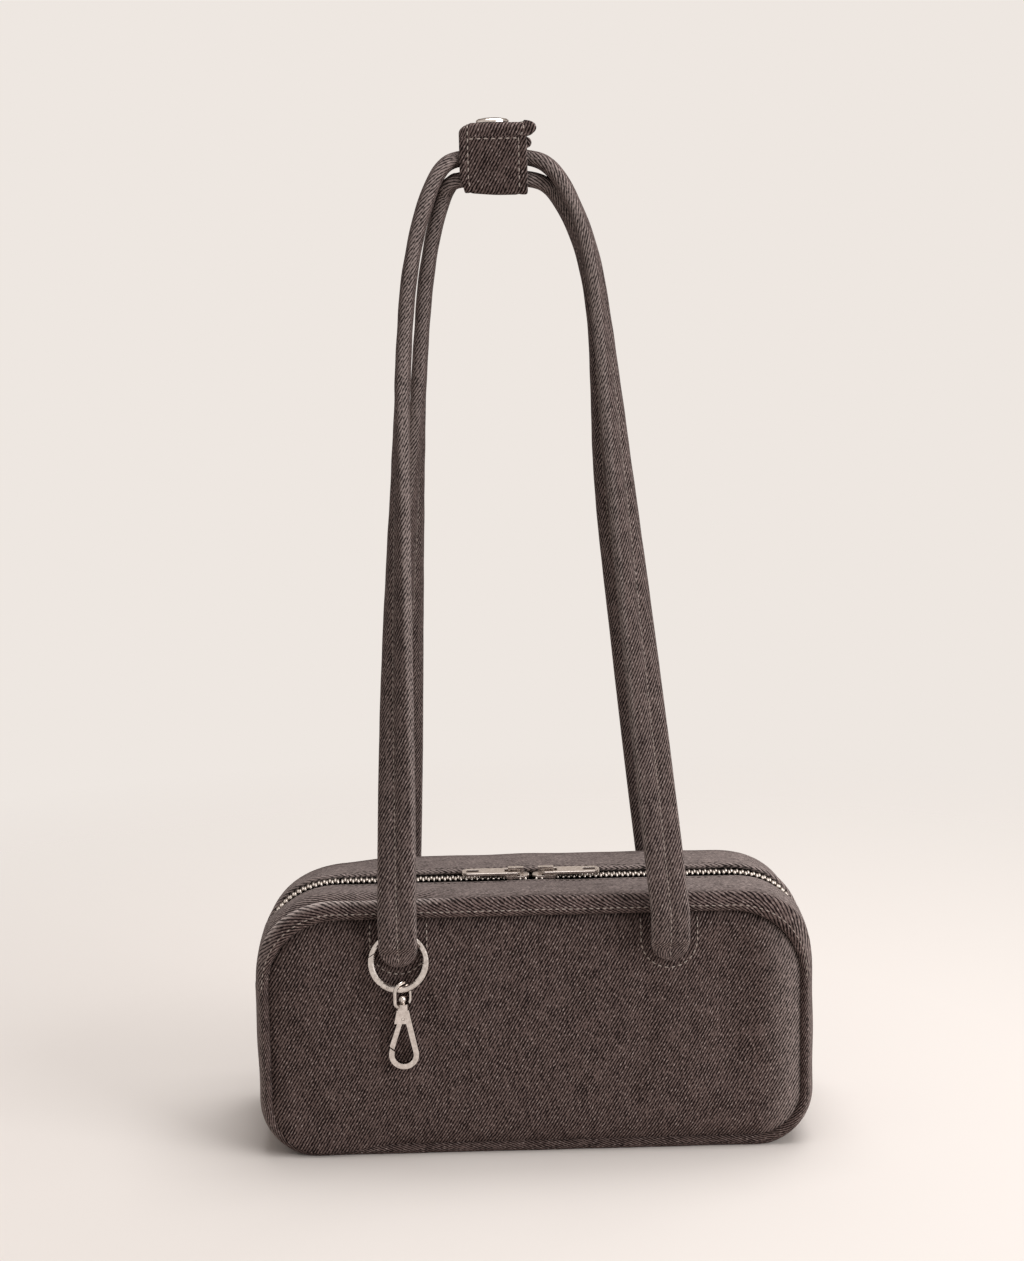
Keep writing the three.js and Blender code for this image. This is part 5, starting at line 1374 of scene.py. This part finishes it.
mid = WRAP_CLOTH / 2
wall = WRAP_HALF - mid
band_corners = [(INNER_END_SETBACK - WRAP_HALF, INNER_TOP - mid), (wall, INNER_TOP - mid),
                (wall, WRAP_LOW + mid), (-wall, WRAP_LOW + mid), (-wall, FLAP_ROOT)]
band_line, band_out = rounded_path(band_corners, WRAP_CORNER - mid, BAND_ROWS)
puffed = spread(1.0, 1 + BAND_PUFF * np.sin(np.arange(BAND_ROWS) / BAND_PUFF_ROWS))[:, None]
band = ribbon_piece("wrap_band_cloth", band_line, band_out, ribbon(WRAP_WIDTH / 2, WRAP_CLOTH) * puffed)
carry(band, "handles", "denim", "wrap_band")
hem_x = np.linspace(-WRAP_STITCH, WRAP_STITCH, 12)
hem = worn_in(spread(hem_x + WRAP_X, -WRAP_HALF, FLAP_ROOT - HEM_DROP))
rows = band_rows(band_line, band_out, band_line[:, 1] < NEAR_WALL - wall)
rows += band_rows(band_line, band_out, band_line[:, 1] > wall - NEAR_WALL)
rows.append(stitches(hem, np.broadcast_to((0.0, -1.0, 0.0), hem.shape), width=BOLD_WIDTH))
carry(grid_piece("wrap_band_stitches", thread, *rows), "handles", "denim")

flap_corners = [(-wall, FLAP_ROOT), (-wall, FLAP_TOP - mid), (WRAP_HALF + FLAP_OVERHANG, FLAP_TOP - mid)]
flap_line, flap_out = rounded_path(flap_corners, WRAP_CORNER - mid, FLAP_ROWS)
flap = ribbon_piece("wrap_flap_cloth", flap_line, flap_out, ribbon(WRAP_WIDTH / 2, WRAP_CLOTH, FLAP_EDGE))
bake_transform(flap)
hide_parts("wrap_flap")
flap_stitches = grid_piece("wrap_flap_stitches", thread, *band_rows(flap_line, flap_out, slice(None)))
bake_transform(flap_stitches)

# %% [markdown]
# ## Metal parts and the base board
# The ring, hook, sliders, pulls and press stud are rigid, so the frame's own solids are shown. Welding
# their faces together and rounding the sharp edges gives them the soft edges of a tumbled casting.

# %% Rigid solids
SHARP_FROM = radians(40)  # edges that turn by more than this are rounded
BOARD_ROUNDING = 0.6
PULL_NODES = {"left_slider": 0.25, "right_slider": 0.25, "left_pull_tab": 0.35, "right_pull_tab": 0.35}
NICKEL_NODES = {
    "snap_cap": 0.0, "snap_socket": 0.2, "snap_stud": 0.1, "snap_back": 0.2,
    "gate_ring": 0.12, "ring_gate": 0.12, "ring_gate_pin": 0.1, "hook_eye": 0.12,
    "snap_hook": 0.45, "hook_gate": 0.3, "hook_gate_rivet": 0.15,
}


def finish_solid(node, material, rounding):
    """Gives a CAD solid its finish, and rounds its sharp edges by a few tenths of a millimetre."""
    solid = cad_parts[node]
    solid.data.materials.clear()
    solid.data.materials.append(material)
    weld = solid.modifiers.new("weld", "WELD")
    weld.merge_threshold = MERGE_DISTANCE * MM
    if rounding > 0:
        bevel = solid.modifiers.new("rounded", "BEVEL")
        bevel.width = rounding * MM
        bevel.segments = 3
        bevel.limit_method = "ANGLE"
        bevel.angle_limit = SHARP_FROM
        bevel.use_clamp_overlap = True


finishes = ((nickel, NICKEL_NODES), (pull_metal, PULL_NODES), (board, {"base_board": BOARD_ROUNDING}))
for material, nodes in finishes:
    for node, rounding in nodes.items():
        finish_solid(node, material, rounding)
    print(material.name, "on", *nodes)

# %% [markdown]
# ## Inside the bag
# The lining hangs as a loose tub from the zip tapes. Felt backs each panel, a square patch backs each
# strap end, and a binding tape covers each seam. They show only when the zip is open, but they keep their
# real sizes.

# %% Lining, felt, patches and bindings
LINING = 0.8
LINING_INSET = 1.7
LINING_OUT = 38.6
LINING_TOP = 105.0
LINING_CURVE = 5.0  # rounding where the walls meet the floor
LINING_WALL = 0.94  # share of the way from the top to the seam that a wall takes
LINING_SLACK = 0.7  # the walls hang in by this, give or take the folds
LINING_FOLD = 0.6
LINING_FOLD_LENGTH = 13.0
FELT_OUT = 42.2
FELT_THICK = 1.8
PATCH_HALF = (15.0, 13.0)
PATCH_OUT = 40.1
PATCH_THICK = 1.2
BINDING_WIDTH = 2.4
BINDING_MIDDLE = 0.9
BINDING_THICK = 0.8
BINDING_OUT = 40.7
BINDING_POWER = 0.5


def inset_seam(s, inset):
    """Seam outline moved inwards, as x and z."""
    x, z, nx, nz = seam(s)
    return x - nx * inset, z - nz * inset


def lining_face(s, inset, out):
    """One face of the tub: each row goes down the front wall, across the floor and up the rear wall."""
    x, z = inset_seam(s, inset)
    down = np.linspace(0, 1, 14)
    turn = np.linspace(0, pi / 2, 7)
    floor_y = np.linspace(0, 1, 9)[:-1]
    walls = down[:-1] * LINING_WALL
    share = np.concatenate([walls, LINING_WALL + (1 - LINING_WALL) * np.sin(turn), 0 * floor_y + 1])
    across = (0 * walls - out, LINING_CURVE * (1 - np.cos(turn)) - out, (LINING_CURVE - out) * (1 - floor_y))
    y = np.concatenate(across)
    share = np.concatenate([share, [1.0], share[::-1]])
    y = np.concatenate([y, [0.0], -y[::-1]])
    fold = LINING_FOLD * np.sin(s[:, None] / LINING_FOLD_LENGTH + 3 * share) * np.sin(pi * share) ** 2
    slack = (LINING_SLACK + fold) * (share < LINING_WALL + 0.01)
    px = x[:, None] * (SEAM_HUB + (1 - SEAM_HUB) * share)
    pz = LINING_TOP + (z[:, None] - LINING_TOP) * share
    return spread(px, y - np.sign(y) * slack, pz)


def lining_tub():
    """Open tub below the zip: two flat walls in the seam's outline, joined by the floor and sides."""
    radius = TOP_RADIUS - LINING_INSET
    side_top = SIDE_FROM - radius * np.arcsin((LINING_TOP - TOP_Z + TOP_RADIUS) / radius)
    s = np.linspace(side_top, 2 * HALF_LOOP - side_top, 181)
    faces = [lining_face(s, LINING_INSET + deep, LINING_OUT - deep) for deep in (0.0, LINING)]
    return shell(*faces, cloth_of(faces[0]))


def inset_panel(face):
    """Felt behind a panel: rings from the middle line to just inside the seam."""
    s = np.linspace(-HALF_LOOP, HALF_LOOP, 121)
    x, z = inset_seam(s, LINING_INSET + GAP)
    share = np.linspace(0, 1, 6)[:, None]
    px = x * (SEAM_HUB + (1 - SEAM_HUB) * share)
    pz = MID_Z + (z - MID_Z) * share
    faces = [spread(px, face * y, pz) for y in (FELT_OUT, FELT_OUT - FELT_THICK)]
    return shell(*faces, spread(px, pz), rims=["last"])


def backing_patch(side, face):
    """Square patch behind a strap end."""
    x = side * STRAP_X + np.linspace(-1, 1, 9)[:, None] * PATCH_HALF[0]
    z = STRAP_END_Z + np.linspace(-1, 1, 9)[None, :] * PATCH_HALF[1]
    faces = [spread(x, face * y, z) for y in (PATCH_OUT, PATCH_OUT - PATCH_THICK)]
    return shell(*faces, cloth_of(faces[0]))


def seam_binding(face):
    """Narrow tape over a seam's raw edge: a small rounded section carried all the way round."""
    s = np.linspace(-HALF_LOOP, HALF_LOOP, 241)
    x, z, nx, nz = seam(s)
    out = spread(nx, 0 * nx, nz)
    centre = spread(x, 0 * x + face * BINDING_OUT, z) - BINDING_MIDDLE * out
    turn = np.linspace(0, 2 * pi, 13)
    half = np.array([BINDING_WIDTH, BINDING_THICK]) / 2
    wave = spread(np.cos(turn), np.sin(turn))
    section = half * squared(wave, BINDING_POWER)
    return patch(sweep(centre, np.broadcast_to((0.0, 1.0, 0.0), out.shape), out, section))


tub = carry(grid_piece("lining_tub", lining_cloth, *lining_tub()), "bag", "lining_cloth", "lining")
for name, face in FACES:
    backing = grid_piece(f"{name}_felt", felt, *inset_panel(face))
    carry(backing, "bag", "lining_cloth", f"{name}_interlining")
    binding = grid_piece(f"{name}_binding", tape_cloth, seam_binding(face))
    carry(binding, "bag", "lining_cloth", f"{name}_seam_binding")
    for hand, side in HANDS:
        square = grid_piece(f"{name}_{hand}_backing", felt, *backing_patch(side, face))
        carry(square, "bag", "lining_cloth", f"{name}_{hand}_patch")

# %% [markdown]
# The strap ends are sewn on with a row of stitches round each tip, a few millimetres outside it, which
# joins the backing patch to the panel. The row follows the panel's own height, so it lies on the cloth
# everywhere.

# %% Stitches round the strap ends
TIP_ROW = 13.2  # distance of the row from the strap's middle
TIP_DROP = 4.6  # row below the tip
TIP_RISE = 0.15  # row proud of the cloth
TIP_TOP = 1.5  # row ends this far below the seam


def tip_row(side, face):
    """U-shaped row: straight down, half an ellipse under the tip, and straight up."""
    turn = np.linspace(pi, 2 * pi, 30)
    low = STRAP_END_Z + TIP_ROW - TIP_DROP
    x = np.concatenate([[-TIP_ROW] * 10, TIP_ROW * np.cos(turn), [TIP_ROW] * 10]) + side * STRAP_X
    rise = np.linspace(TOP_Z - TIP_TOP, low, 11)[:-1]
    z = np.concatenate([rise, low + TIP_ROW * np.sin(turn), rise[::-1]])
    near = padded_height(panel_share(x, z), -face * x, z)
    path = spread(x, face * (near + TIP_RISE), z)
    return stitches(path, np.broadcast_to((0.0, face, 0.0), path.shape), width=BOLD_WIDTH)


for name, face in FACES:
    rows = [tip_row(side, face) for hand, side in HANDS]
    carry(grid_piece(f"{name}_panel_stitches", thread, *rows), "bag", "denim")
